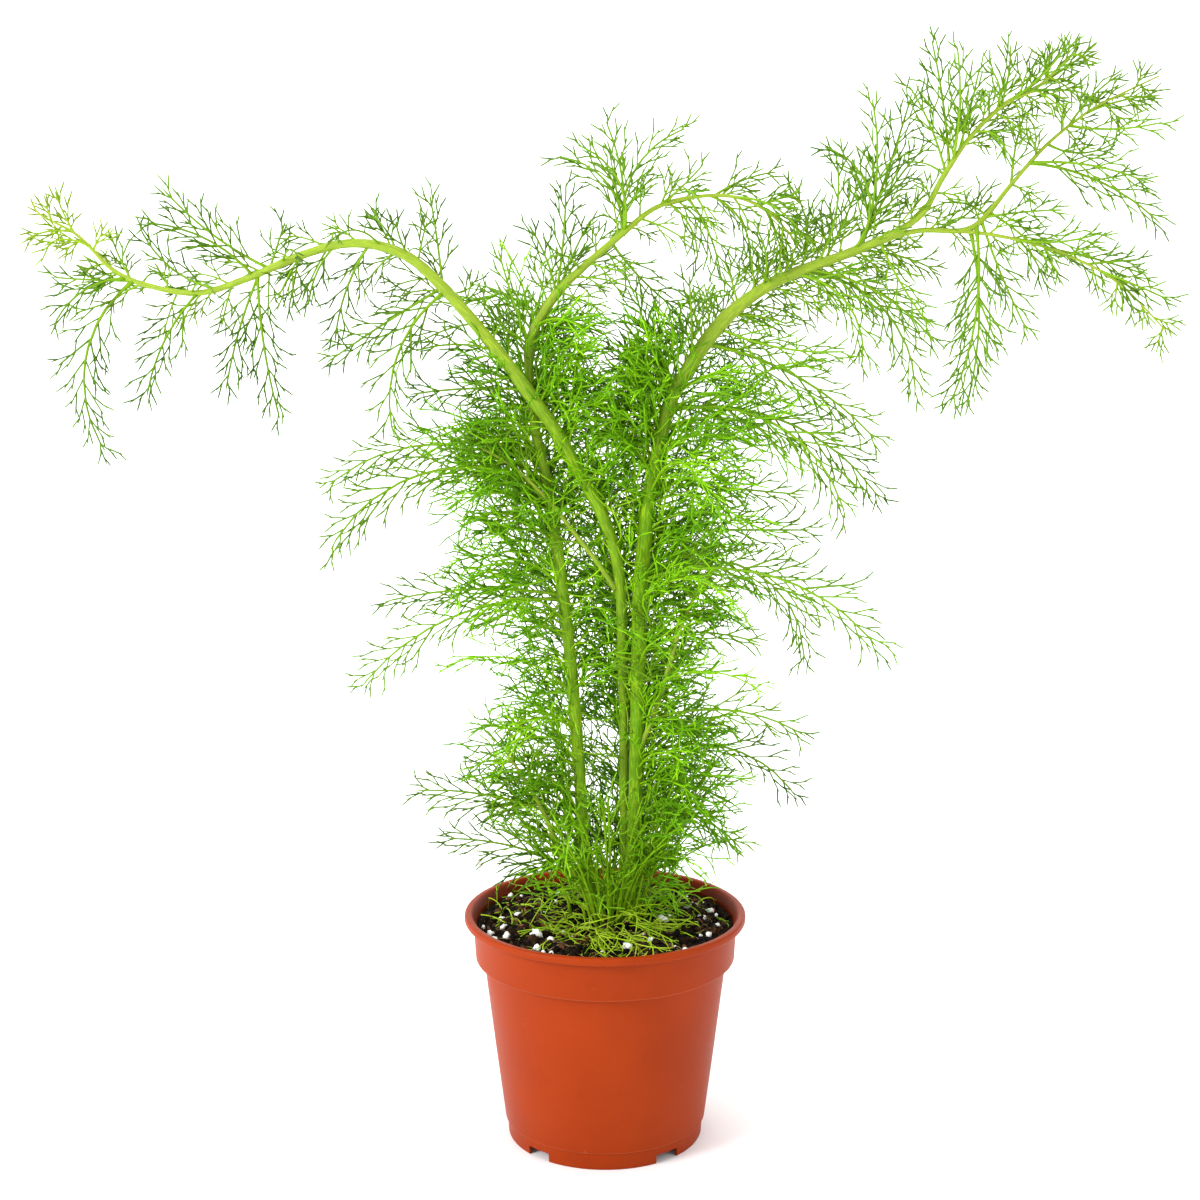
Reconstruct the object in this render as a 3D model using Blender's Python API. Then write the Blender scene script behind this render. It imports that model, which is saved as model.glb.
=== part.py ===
"""Potted dill: three leafy stems and small basal sprays stand in a soil-filled nursery pot.

Metres, +Z up. The origin is the middle of the pot's underside, and -Y is the front.
The tables of stems and fronds are in millimetres, drawn on the upright plane y = 0 as
seen from EYE, with a depth behind that plane, so the plant keeps its outline from there.
"""

import math
from collections import namedtuple

import bmesh
import bpy
import numpy as np

MM = 0.001

# Pot: outline in millimetres as (radius, height), from the middle of the underside
# outwards, up the outside, over the rim and down the inside to the middle of the floor.
POT_OUTLINE = (
    (0, 0), (20, 0), (20.5, 4), (43.9, 4), (44.1, 0),
    (45.4, 0), (45.9, 7.9), (46.9, 8.4), (51.4, 44), (56.2, 83.6), (56.7, 84.8), (60.1, 85.8),
    (61.1, 103), (64.8, 103.5), (65.2, 104.3), (65.2, 106.2), (64.4, 107),
    (62.2, 107), (61.5, 106.2), (59.6, 102.6),
    (58.8, 88.4), (55.3, 86.2), (44.8, 5.2), (19.4, 5.2), (18.8, 1.2), (0, 1.2),
)
RIM_TOP = 107.0
RIM_TOP_REACH = 48.0  # foliage further out than this stays above the rim
POT_SEGMENTS = 36
NOTCH_TURNS = (-132, -51.5, 48, 128.5)  # degrees from +X: where the foot's notches are
NOTCH_WIDTH = 12.2  # millimetres
NOTCH_TOP = 4.3
NOTCH_INNER_RADIUS = 37.0
NOTCH_OUTER_RADIUS = 50.0
DRAIN_OUTER_RADIUS = 43.4
DRAIN_TOP = 7.0
SHARP_FROM = 35.0  # degrees: flatter edges are shaded smooth

# Soil: outline below its surface, 0.3 mm inside the pot's inner face.
SOIL_OUTLINE = (
    (0, 1.5), (18.5, 1.5), (19.1, 5.5), (44.4, 5.5), (54.9, 86.4), (58.4, 88.7),
)
SOIL_LEVEL = 101.0
SOIL_EDGE_RADIUS = 59.1
SOIL_RINGS = 6
HOLE_GAP = 0.4
PERLITE_COUNT = 16

# Stems: (across, up, behind, diameter)
EYE = np.array((-2.4, -850.0, 399.5))
STEMS = {
    "left": (
        (11, 74, 7.5, 4.6), (9.8, 109, 7, 4.5), (8.8, 160, 6, 4.4), (8.2, 215, 4, 4.6),
        (4.4, 275, -1, 5.2), (-16.6, 320, -7, 5.7), (-31, 342, -8.5, 5.9), (-48, 365, -9, 5.6),
        (-71, 392, -10, 4.9), (-89, 407, -10, 4.3), (-111, 411.5, -9, 3.9), (-134, 406, -7, 3.5),
        (-158, 396, -4, 3.0), (-179, 390, -1, 2.6), (-200, 393, 2, 2.3), (-216, 400, 4, 1.9),
        (-231, 415, 5, 1.3), (-247, 424, 6, 0.9), (-251, 432, 7, 0.7),
    ),
    "middle": (
        (-5, 74, 1, 5.2), (-6, 109, 1, 5.0), (-10, 140, 1, 5.2), (-12, 177, 1, 5.4),
        (-16, 228, 1, 5.4), (-19.5, 259, 1, 5.3), (-25, 301, 1, 4.8), (-31.4, 332, 1.5, 4.3),
        (-34, 362, 2, 4.0), (-31, 375, 2.5, 4.2), (-22, 389, 3, 4.3), (-11, 400, 4, 3.4),
        (9, 417, 5, 2.8), (22.5, 427, 5, 2.1), (40, 431.5, 4, 1.7), (58, 431, 3, 1.4),
        (72, 424, 1, 1.1), (83, 413, -1, 0.8),
    ),
    "right": (
        (9, 74, -4, 5.6), (10.6, 109, -4, 6.2), (13.6, 150, -3.5, 6.3), (14.7, 200, -3, 6.5),
        (16, 256, -2, 7.0), (20, 301, -1, 6.2), (27.6, 338, 0, 5.7), (38, 359, 1, 6.4),
        (52, 378, 2, 6.4), (68, 391, 3, 5.2), (84, 399, 4, 4.8), (106, 407, 5, 4.1),
        (131, 417, 5, 3.8),
    ),
}
BRANCHES = {
    "right_upper": (
        (122, 413, 5, 3.2), (138, 424, 4, 2.9), (147, 440, 2, 2.4), (158, 456.5, 0, 2.0),
        (173, 471, -3, 1.8), (185.5, 477, -5, 1.4), (202, 492, -8, 0.8),
    ),
    "right_outer": (
        (122, 413.5, 5, 2.6), (138, 417, 6, 2.3), (156, 417, 7, 2.4), (165, 422, 8, 2.5),
        (177, 437, 10, 1.9), (192, 454, 12, 1.6), (209, 467.5, 14, 1.2), (222, 474.5, 15, 1.0),
        (240, 483, 17, 0.7),
    ),
    "right_low": (
        (150, 417, 7, 1.8), (170, 415, 6, 1.6), (195, 409, 3, 1.4), (223, 396, -1, 1.1),
        (248, 373, -5, 0.7),
    ),
}
STEM_STEP = 15.0
FINE_STEP = 1.0  # for finding places along a stem
STEM_SIDES = 6

# Fronds that make the outline: root (across, up), bearing at the root and at the tip in
# degrees anticlockwise from +X, and length, all as drawn.
OUTER_FRONDS = {
    "left": (
        (-71, 393, 95, 100, 42), (-71, 390, -145, -75, 74), (-74, 390, -150, -145, 64),
        (-104, 409, -125, -95, 48), (-118, 409, -135, -95, 30), (-91, 409, 105, 145, 20),
        (-85, 406, 125, 95, 18), (-148, 403, 155, 130, 60),
        (-148, 403, 70, 70, 22), (-156, 401, 130, 180, 56),
        (-171, 393, 170, 110, 46), (-152, 398, -115, -100, 56), (-152, 397, -90, -75, 66),
        (-134, 405, -100, -105, 24), (-179, 389, -135, -100, 54),
        (-208, 393, -145, -55, 88), (-207, 395, 180, 175, 36), (-210, 396, -180, -115, 42),
        (-208, 397, 120, 105, 22), (-226, 409, 145, 215, 22),
        (-234, 416, 170, 210, 22), (-233, 415, 120, 105, 20),
        (-48, 364, 160, 200, 38), (-38, 345, 175, 190, 54),
    ),
    "middle": (
        (-27, 305, 140, 225, 112), (-27, 303, 150, 245, 118), (-20, 253, 175, 235, 110),
        (-20, 255, 170, 195, 84), (8, 417, 85, 115, 50), (8, 417, 100, 15, 58),
        (8, 417, 75, 165, 48), (7, 416, 85, 180, 50), (-22, 390, 80, 90, 50),
        (-22, 390, 100, 125, 34), (-21, 391, 70, 60, 36), (-33, 367, 110, 105, 46),
        (-34, 363, 130, 130, 36),
        (3, 412, -55, -35, 42), (-7, 403, -25, 0, 18), (36, 430, -50, -85, 40),
        (46, 432, -20, -105, 40), (58, 431, 0, -55, 32),
        (48, 432, 35, 5, 30), (22, 427, 35, 50, 28),
        (27, 429, -30, -95, 30),
    ),
    "right": (
        (32, 348, 125, 100, 50), (37, 360, 90, 95, 40), (28, 340, 115, 160, 42),
        (45, 367, -10, -50, 94), (50, 374, -25, 5, 60), (27, 339, 10, -60, 116),
        (27, 338, 15, -80, 108), (21, 307, -5, -5, 70), (19, 285, 0, 0, 78),
        (17, 262, 20, -55, 124), (17, 261, 40, -100, 110), (16, 235, 15, -20, 58),
        (15, 195, 25, -35, 84), (15, 179, 30, -60, 86), (14, 155, 10, -55, 58),
        (110, 412, 70, 105, 68), (110, 412, 70, 75, 72), (107, 411, 45, 170, 58),
        (110, 412, 70, 45, 54), (92, 403, 60, 105, 52), (85, 401, 65, 135, 42),
        (95, 404, 60, 75, 40), (68, 392, 65, 125, 28), (85, 398, 0, -95, 88),
        (88, 399, -5, -55, 72), (83, 398, -5, -105, 60),
        (110, 408, 0, -30, 40), (120, 413, -65, -50, 46),
    ),
    "right_upper": (
        (149, 445, 95, 105, 56), (150, 447, 80, 100, 50), (152, 451, 75, 80, 38),
        (148, 442, 105, 125, 42), (170, 467, 65, 145, 22), (171, 469, 70, 95, 28),
        (174, 471, 30, 60, 38), (175, 472, 25, 40, 40),
        (183, 477, 10, -15, 26), (160, 459, 20, -100, 22),
    ),
    "right_outer": (
        (140, 424, 5, 65, 34), (166, 422, 10, 0, 36), (177, 436, 90, 70, 34),
        (185, 445, -5, -45, 68), (185, 445, 5, -25, 56),
        (192, 454, -30, 35, 32), (200, 462, -10, 15, 42), (208, 467, 25, 0, 34),
        (200, 462, 60, 30, 32), (161, 420, -80, -115, 84), (159, 419, -75, -105, 82),
        (165, 421, -70, -60, 56), (168, 425, -30, -50, 42),
    ),
    "right_low": (
        (180, 412, -40, -75, 24), (180, 412, -10, 20, 38),
        (211, 403, 5, 5, 24), (195, 409, -10, -20, 46), (217, 399, -20, -25, 36),
        (222, 396, -35, -80, 20),
    ),
}
OUTER_LEAN = 0.45  # most that an outer frond leans forward or back, for each unit it runs

# Fronds of the bushy middle: on each stem from and to a height, how many, and the sector
# of azimuths that they fill, in degrees from +X towards the back.
INNER_FRONDS = {
    "left": (128, 300, 8, 35, 125),
    "middle": (118, 350, 14, 125, 275),
    "right": (118, 340, 14, -82, 35),
}
INNER_LENGTH = 88.0
INNER_NARROWING = 0.35  # how much shorter they are where they point sideways
INNER_RISE = (48.0, -30.0)  # elevation at the root and at the tip
INNER_RISE_SPREAD = (14.0, 22.0)  # how much each of them varies

# Fronds along the arching arms that point to the front and the back: from and to a
# length along the stem, and how many.
ARM_FRONDS = {
    "left": (345, 500, 7),
    "middle": (300, 420, 5),
    "right": (300, 400, 4),
    "right_upper": (20, 95, 2),
    "right_outer": (30, 135, 3),
    "right_low": (20, 80, 1),
}
ARM_LENGTH = 46.0
ARM_RISE = (35.0, -40.0)
ARM_TURN = 35.0  # degrees either side of straight to the front or the back

# Basal sprays: (across, behind) of the foot in the soil, azimuth, length, rise at the tip
BASAL_SPRAYS = (
    (-16, -6, 205, 62, 20), (-14, 10, 150, 58, 10), (2, -17, 262, 46, -35), (-9, -14, 232, 44, -40),
    (18, -12, 305, 46, -30), (22, 2, 350, 56, 5), (14, 17, 60, 58, 10), (-4, 17, 110, 54, 10),
)
PETIOLE_DIAMETER = 1.8
FOOT_DEPTH = 9.0

# Rachis and needles
RACHIS_RADIUS = 1.0
NEEDLE_RADIUS = 0.42
NEEDLE_SPACING = 15.0
NEEDLE_SHARE = 0.27  # longest needle, as a share of its frond
NEEDLE_SHORTEST = 7.0
NEEDLE_LONGEST = 21.0
NEEDLE_ANGLE = 38.0
NEEDLE_ROLL = 24.0  # degrees out of the frond's flat
SHORT_FROND = 44.0  # up to this long, a rachis has one bend
LONG_FROND = 92.0  # from this long, it has three
GOLDEN = 0.618034
SAMPLES = 25
CLEARANCE = 0.4  # kept between the plant's nodes
OTHER_LEANS = (0, 0.2, -0.2, 0.4, -0.4, 0.7, -0.7)  # tried in turn where a frond isn't clear
OTHER_TURNS = (0, 12, -12, 24, -24, 36, -36)
UPRIGHT_SIDE = (1.0, 0.0, 0.0)  # where the first corner of an upright tube's section points
SKEW_SIDE = (0.1, 0.2, 1.0)  # the same for a needle: no needle runs this way

Frond = namedtuple("Frond", "node path side length")


def unit(vectors):
    return vectors / np.linalg.norm(vectors, axis=-1, keepdims=True)


def smooth(points, step):
    """Catmull-Rom curve through the points, then read off at even steps of its length."""
    points = np.asarray(points, float)
    ends = np.concatenate([[2 * points[0] - points[1]], points, [2 * points[-1] - points[-2]]])
    a, b, c, d = (ends[i : len(ends) - 3 + i, None] for i in range(4))
    t = np.linspace(0, 1, 16, endpoint=False)[None, :, None]
    curve = 0.5 * (2 * b + (c - a) * t + (2 * a - 5 * b + 4 * c - d) * t**2)
    curve = curve + 0.5 * (3 * b - a - 3 * c + d) * t**3
    curve = np.concatenate([curve.reshape(-1, points.shape[1]), points[-1:]])
    run = np.linalg.norm(np.diff(curve[:, :3], axis=0), axis=1)
    length = np.concatenate([[0], np.cumsum(run)])
    stations = np.linspace(0, length[-1], max(2, round(length[-1] / step)) + 1)
    return np.stack([np.interp(stations, length, column) for column in curve.T], axis=1)


def seen(across, up, behind):
    """The point behind the plane y = 0 that hides (across, up) on it from EYE."""
    plane = np.stack([across, np.zeros_like(across), up], axis=-1)
    return EYE + (plane - EYE) * (1 - behind / EYE[1])[..., None]


def stem_points(row):
    return seen(row[:, 0], row[:, 1], row[:, 2])


def drawn_frond(stem, fine, row, index):
    """A frond whose bearing turns evenly from root to tip as seen from EYE."""
    across, up, start, end, length = row
    root = fine[np.argmin(np.hypot(fine[:, 0] - across, fine[:, 1] - up))]
    middles = (np.arange(SAMPLES - 1) + 0.5) / (SAMPLES - 1)
    bearing = np.radians(start + (end - start) * middles)
    step = length / (SAMPLES - 1)
    x = root[0] + step * np.concatenate([[0], np.cumsum(np.cos(bearing))])
    z = root[1] + step * np.concatenate([[0], np.cumsum(np.sin(bearing))])

    def leaning(lean):
        behind = root[2] + lean * np.linspace(0, length, SAMPLES)
        path = seen(x, z, behind)
        tangent = unit(np.gradient(path, axis=0))
        side = unit(np.cross((0, -1, 0), tangent))
        return Frond(stem, path, side, length)

    lean = OUTER_LEAN * math.cos(2.4 * index + 0.6)
    return [leaning(lean + change) for change in OTHER_LEANS]


def free_frond(stem, root, azimuth, rise, length):
    """A frond that leaves root at an azimuth, rises at rise[0] and bends evenly to rise[1]."""
    middles = (np.arange(SAMPLES - 1) + 0.5) / (SAMPLES - 1)
    elevation = np.radians(rise[0] + (rise[1] - rise[0]) * middles)
    step = length / (SAMPLES - 1)

    def turned(change):
        turn = math.radians(azimuth + change)
        heading = np.array((math.cos(turn), math.sin(turn), 0))
        moves = np.cos(elevation)[:, None] * heading + np.sin(elevation)[:, None] * (0, 0, 1)
        path = root + step * np.concatenate([[(0, 0, 0)], np.cumsum(moves, axis=0)])
        side = np.tile((-heading[1], heading[0], 0), (SAMPLES, 1))
        return Frond(stem, path, side, length)

    return [turned(change) for change in OTHER_TURNS]


def inner_fronds(stem, fine):
    lowest, highest, count, first, last = INNER_FRONDS[stem]
    points = stem_points(fine)
    for index in range(count):
        share = (index + 0.5) / count
        root = points[np.argmin(abs(points[:, 2] - (lowest + (highest - lowest) * share)))]
        azimuth = first + (last - first) * ((index * GOLDEN + 0.3) % 1)
        length = INNER_LENGTH * (0.7 + 0.3 * math.sin(math.pi * share) + 0.2 * (index % 3 - 1))
        length = length * (1 - INNER_NARROWING * abs(math.cos(math.radians(azimuth))))
        rise = np.array(INNER_RISE) + np.array(INNER_RISE_SPREAD) * (
            math.sin(3.1 * index), -math.sin(1.9 * index)
        )
        yield free_frond(stem, root, azimuth, rise, length)


def arm_fronds(stem, fine):
    lowest, highest, count = ARM_FRONDS[stem]
    points = stem_points(fine)
    run = np.linalg.norm(np.diff(points, axis=0), axis=1)
    along = np.concatenate([[0], np.cumsum(run)])
    for index in range(count):
        share = (index + 0.5) / count
        root = points[np.argmin(abs(along - (lowest + (highest - lowest) * share)))]
        azimuth = (270 if index % 2 else 90) + ARM_TURN * math.cos(2.4 * index)
        yield free_frond(stem, root, azimuth, ARM_RISE, ARM_LENGTH * (1.1 - 0.4 * share))


def sections(frond):
    """Which samples of a frond's path its rachis bends at."""
    count = 3 if frond.length < SHORT_FROND else 4 if frond.length < LONG_FROND else 5
    return np.linspace(0, SAMPLES - 1, count).round().astype(int)


def needles(frond):
    """(roots, tips) of a frond's needles, which leave it by turns left and right.

    The roots keep off the rachis's bends and its thin end, where they would poke through.
    """
    bends = sections(frond)
    count = max(2, round(frond.length / NEEDLE_SPACING))
    share = (np.arange(count) + 0.7) / (count + 0.4)
    piece, part_way = np.divmod(share * (len(bends) - 1), 1)
    piece = piece.astype(int)
    in_tip = piece == len(bends) - 2
    part_way = np.where(in_tip, 0.03 + 0.45 * part_way, 0.2 + 0.6 * part_way)[:, None]
    first, last = frond.path[bends[piece]], frond.path[bends[piece + 1]]
    path = first + (last - first) * part_way
    tangent = unit(last - first)
    side = unit(frond.side[bends[piece]] + frond.side[bends[piece + 1]])
    normal = np.cross(tangent, side)
    hand = np.where(np.arange(count) % 2, 1, -1)[:, None]
    roll = np.radians(NEEDLE_ROLL) * np.sin(np.arange(count) * 2.4 + frond.length)[:, None]
    outward = hand * side * np.cos(roll) + normal * np.sin(roll)
    swell = np.sin(np.pi * np.clip(0.25 + 0.75 * share, 0, 1)) * 0.75 + 0.25
    length = np.clip(frond.length * NEEDLE_SHARE * swell, NEEDLE_SHORTEST, NEEDLE_LONGEST)
    angle = math.radians(NEEDLE_ANGLE)
    tips = path + length[:, None] * (tangent * math.cos(angle) + outward * math.sin(angle))
    return path, tips


def distances(p, q, r, s):
    """Shortest distances between every segment p-q and every segment r-s."""
    first, second = (q - p)[:, None], (s - r)[None]
    gap = p[:, None] - r[None]
    a, e = (first**2).sum(-1), (second**2).sum(-1)
    b, c, f = (first * second).sum(-1), (first * gap).sum(-1), (second * gap).sum(-1)
    across = np.clip((b * f - c * e) / np.maximum(a * e - b * b, 1e-9), 0, 1)
    along = np.clip((b * across + f) / e, 0, 1)
    across = np.clip((b * along - c) / a, 0, 1)
    return np.linalg.norm(gap + first * across[..., None] - second * along[..., None], axis=-1)


class Space:
    """The capsules that are taken, each by a node and by one of its fronds."""

    def __init__(self):
        self.starts, self.ends = np.zeros((0, 3)), np.zeros((0, 3))
        self.radii, self.nodes, self.fronds = np.zeros(0), np.zeros(0, int), np.zeros(0, int)

    def is_clear(self, others, starts, ends, radius):
        """Which of these capsules stay above the soil and the rim and off the others."""
        near_rim = np.hypot(ends[:, 0], ends[:, 1]) > RIM_TOP_REACH
        standing = ends[:, 2] > np.where(near_rim, RIM_TOP, SOIL_LEVEL) + 3
        gaps = distances(starts, ends, self.starts[others], self.ends[others])
        return standing & (gaps - radius - self.radii[others] > CLEARANCE).all(axis=1)

    def take(self, node, frond, starts, ends, radii):
        self.starts = np.concatenate([self.starts, starts])
        self.ends = np.concatenate([self.ends, ends])
        self.radii = np.concatenate([self.radii, np.broadcast_to(radii, len(starts))])
        self.nodes = np.concatenate([self.nodes, np.full(len(starts), node)])
        self.fronds = np.concatenate([self.fronds, np.full(len(starts), frond)])


def node_of(stem):
    return {"left": 0, "middle": 1}.get(stem, 2)


def placed(space, ways, node, number):
    """The first way to run a frond that clears all else, or the other nodes, or most of it."""
    elsewhere = space.nodes != node
    fronds = elsewhere | (space.fronds >= 0)
    best, reach = None, 0
    for way in ways:
        free = space.is_clear(elsewhere, way.path[2:-1], way.path[3:], RACHIS_RADIUS)
        if free.all():
            if space.is_clear(fronds, way.path[7:-1], way.path[8:], RACHIS_RADIUS).all():
                best, reach = way, SAMPLES
                break
            if reach < SAMPLES:
                best, reach = way, SAMPLES
        elif free.argmin() + 2 > reach:
            best, reach = way, free.argmin() + 2
    if reach < SAMPLES // 3:
        return None
    if reach < SAMPLES:
        kept = np.linspace(0, reach, SAMPLES)
        path = np.stack([np.interp(kept, np.arange(SAMPLES), c) for c in best.path.T], axis=1)
        side = np.stack([np.interp(kept, np.arange(SAMPLES), c) for c in best.side.T], axis=1)
        best = Frond(best.node, path, side, best.length * reach / (SAMPLES - 1))
    space.take(node, number, best.path[:-1], best.path[1:], RACHIS_RADIUS)
    return best


def kept_needles(space, frond, node, number):
    """The needles of a frond that clear all else but its own rachis."""
    roots, tips = needles(frond)
    free = space.is_clear(
        (space.nodes != node) | (space.fronds != number), roots, tips, NEEDLE_RADIUS
    )
    space.take(node, number, roots[free], tips[free], NEEDLE_RADIUS)
    return roots[free], tips[free]


def grow():
    """Every stem's points and radii, and every frond, clear of the other nodes."""
    space = Space()
    stems, fine, fronds = {}, {}, []
    for name, rows in {**STEMS, **BRANCHES}.items():
        stems[name] = smooth(rows, STEM_STEP)
        fine[name] = smooth(rows, FINE_STEP)
        points = stem_points(fine[name])[::3]
        space.take(node_of(name), -1, points[:-1], points[1:], fine[name][::3][1:, 3] / 2)
    ways = []
    for name, rows in OUTER_FRONDS.items():
        ways += [drawn_frond(name, fine[name], row, index) for index, row in enumerate(rows)]
    for name in INNER_FRONDS:
        ways += list(inner_fronds(name, fine[name]))
    for name in ARM_FRONDS:
        ways += list(arm_fronds(name, fine[name]))
    for number, choices in enumerate(ways):
        frond = placed(space, choices, node_of(choices[0].node), number)
        if frond:
            fronds.append((number, frond))
    return space, stems, fronds


def material(name, color, roughness):
    made = bpy.data.materials.new(name)
    made.use_nodes = True
    shader = made.node_tree.nodes["Principled BSDF"]
    shader.inputs["Base Color"].default_value = (*color, 1)
    shader.inputs["Roughness"].default_value = roughness
    made.diffuse_color = (*color, 1)
    return made


def solid(name, points, faces):
    """An object of these points (in millimetres) and faces, at the world's origin."""
    mesh = bpy.data.meshes.new(name)
    mesh.from_pydata((np.asarray(points) * MM).tolist(), [], faces)
    made = bpy.data.objects.new(name, mesh)
    bpy.context.scene.collection.objects.link(made)
    return made


def tube(name, path, radii, side, sides):
    """Closed tube along a path; where the last radius is nothing it ends in a point."""
    tangent = unit(np.gradient(path, axis=0))
    across = unit(side - (side * tangent).sum(axis=1, keepdims=True) * tangent)
    up = np.cross(tangent, across)
    turn = (np.arange(sides) + 0.5) * 2 * math.pi / sides
    ring = np.cos(turn)[:, None] * across[:, None] + np.sin(turn)[:, None] * up[:, None]
    points = (path[:, None] + ring * np.asarray(radii)[:, None, None]).reshape(-1, 3)
    rings = len(path)
    pointed = radii[-1] == 0
    if pointed:
        rings -= 1
        points = np.concatenate([points[: rings * sides], path[-1:]])
    faces = [tuple(range(sides))[::-1]]
    for row in range(rings - 1):
        for k in range(sides):
            a, b = row * sides + k, row * sides + (k + 1) % sides
            faces.append((a, b, b + sides, a + sides))
    last = (rings - 1) * sides
    if pointed:
        faces += [(last + k, last + (k + 1) % sides, rings * sides) for k in range(sides)]
    else:
        faces.append(tuple(range(last, last + sides)))
    return solid(name, points, faces)


def stem_tube(name, rows):
    path = stem_points(rows)
    side = np.cross(unit(np.gradient(path, axis=0)), (0, -1, 0))
    return tube(name, path, rows[:, 3] / 2, side, STEM_SIDES)


def frond_pieces(frond, roots, tips, number):
    """The rachis and the needles of one frond, as separate closed solids."""
    kept = sections(frond)
    radii = RACHIS_RADIUS * np.linspace(1, 0.6, len(kept))
    radii[-1] = 0
    pieces = [tube(f"rachis_{number}", frond.path[kept], radii, frond.side[kept], 4)]
    radii = np.array((NEEDLE_RADIUS, 0))
    for count, ends in enumerate(np.stack([roots, tips], axis=1)):
        pieces.append(tube(f"needle_{number}_{count}", ends, radii, np.tile(SKEW_SIDE, (2, 1)), 3))
    return pieces


def fused(target, pieces, solver="MANIFOLD", operation="UNION"):
    """Joins the pieces to the target, or cuts them from it, in one Boolean, and removes them."""
    collection = bpy.data.collections.new(target.name + "_pieces")
    bpy.context.scene.collection.children.link(collection)
    for piece in pieces:
        bpy.context.scene.collection.objects.unlink(piece)
        collection.objects.link(piece)
    modifier = target.modifiers.new("pieces", "BOOLEAN")
    modifier.operand_type = "COLLECTION"
    modifier.collection = collection
    modifier.operation = operation
    modifier.solver = solver
    graph = bpy.context.evaluated_depsgraph_get()
    mesh = bpy.data.meshes.new_from_object(target.evaluated_get(graph))
    target.modifiers.clear()
    target.data = mesh
    for piece in pieces:
        bpy.data.objects.remove(piece)
    bpy.data.collections.remove(collection)


def lathe(name, outline, segments):
    """The outline turned about Z into a closed solid; its ends lie on the axis."""
    turn = np.arange(segments) * 2 * math.pi / segments
    circle = np.stack([np.cos(turn), np.sin(turn), np.zeros(segments)], axis=1)
    points = [(0, 0, outline[0][1]), (0, 0, outline[-1][1])]
    for radius, height in outline[1:-1]:
        points.extend(circle * radius + (0, 0, height))
    faces = []
    for row in range(len(outline) - 3):
        low, high = 2 + row * segments, 2 + (row + 1) * segments
        for k in range(segments):
            after = (k + 1) % segments
            faces.append((low + k, low + after, high + after, high + k))
    last = 2 + (len(outline) - 3) * segments
    for k in range(segments):
        after = (k + 1) % segments
        faces.append((0, 2 + after, 2 + k))
        faces.append((1, last + k, last + after))
    return solid(name, points, faces)


def block(name, low, high, turn):
    """A box from low to high, turned about Z by an angle in degrees."""
    shape = bmesh.new()
    bmesh.ops.create_cube(shape, size=1)
    corners = np.array([vertex.co[:] for vertex in shape.verts]) + 0.5
    faces = [tuple(vertex.index for vertex in face.verts) for face in shape.faces]
    shape.free()
    x, y, z = (corners * (np.array(high) - low) + low).T
    angle = math.radians(turn)
    across = x * math.cos(angle) - y * math.sin(angle)
    behind = x * math.sin(angle) + y * math.cos(angle)
    return solid(name, np.stack([across, behind, z], axis=1), faces)


def finish(thing, made):
    """Gives a fused solid its one material and smooth round faces."""
    thing.data.materials.clear()
    thing.data.materials.append(made)
    thing.data.shade_smooth()
    thing.data.set_sharp_from_angle(angle=math.radians(SHARP_FROM))


def make_pot():
    pot = lathe("pot", POT_OUTLINE, POT_SEGMENTS)
    cutters = []
    half = NOTCH_WIDTH / 2
    for number, turn in enumerate(NOTCH_TURNS):
        foot = ((NOTCH_INNER_RADIUS, -half, -1), (NOTCH_OUTER_RADIUS, half, NOTCH_TOP))
        drain = ((NOTCH_INNER_RADIUS, -half, NOTCH_TOP - 1), (DRAIN_OUTER_RADIUS, half, DRAIN_TOP))
        cutters.append(block(f"notch_{number}", *foot, turn))
        cutters.append(block(f"drain_{number}", *drain, turn))
    fused(pot, cutters, "EXACT", "DIFFERENCE")
    finish(pot, material("terracotta_plastic", (0.52, 0.085, 0.03), 0.42))


def soil_height(x, y):
    """Height of the soil: a low mound with lumps and hollows, calmer at the pot's wall."""
    radius = np.hypot(x, y)
    mound = 2.0 * np.cos(np.clip(radius / SOIL_EDGE_RADIUS, 0, 1) * math.pi / 2)
    lumps = 0.9 * np.sin(0.21 * x + 1.3) * np.cos(0.24 * y - 0.4)
    lumps = lumps + 0.6 * np.sin(0.43 * x - 0.31 * y) + 0.4 * np.cos(0.55 * y + 0.37 * x + 2)
    return SOIL_LEVEL + mound + lumps * np.clip((SOIL_EDGE_RADIUS + 4 - radius) / 20, 0.2, 1)


def perlite_places():
    """(x, y, radius) of the grains, scattered by the golden angle over the outer soil."""
    for index in range(PERLITE_COUNT):
        angle = math.radians(137.508 * index + 20)
        radius = 24 + 28 * math.sqrt((index + 0.5) / PERLITE_COUNT)
        yield radius * math.cos(angle), radius * math.sin(angle), 1.5 + 0.8 * ((index * GOLDEN) % 1)


def perlite_grain(number, x, y, radius):
    """A blunt grain, two thirds sunk in the soil."""
    middle = float(soil_height(x, y))
    path = np.array([(x, y, middle - radius), (x, y, middle + 0.8 * radius)])
    side = np.tile(UPRIGHT_SIDE, (2, 1))
    return tube(f"grain_{number}", path, radius * np.array((1, 0.55)), side, 4)


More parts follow.
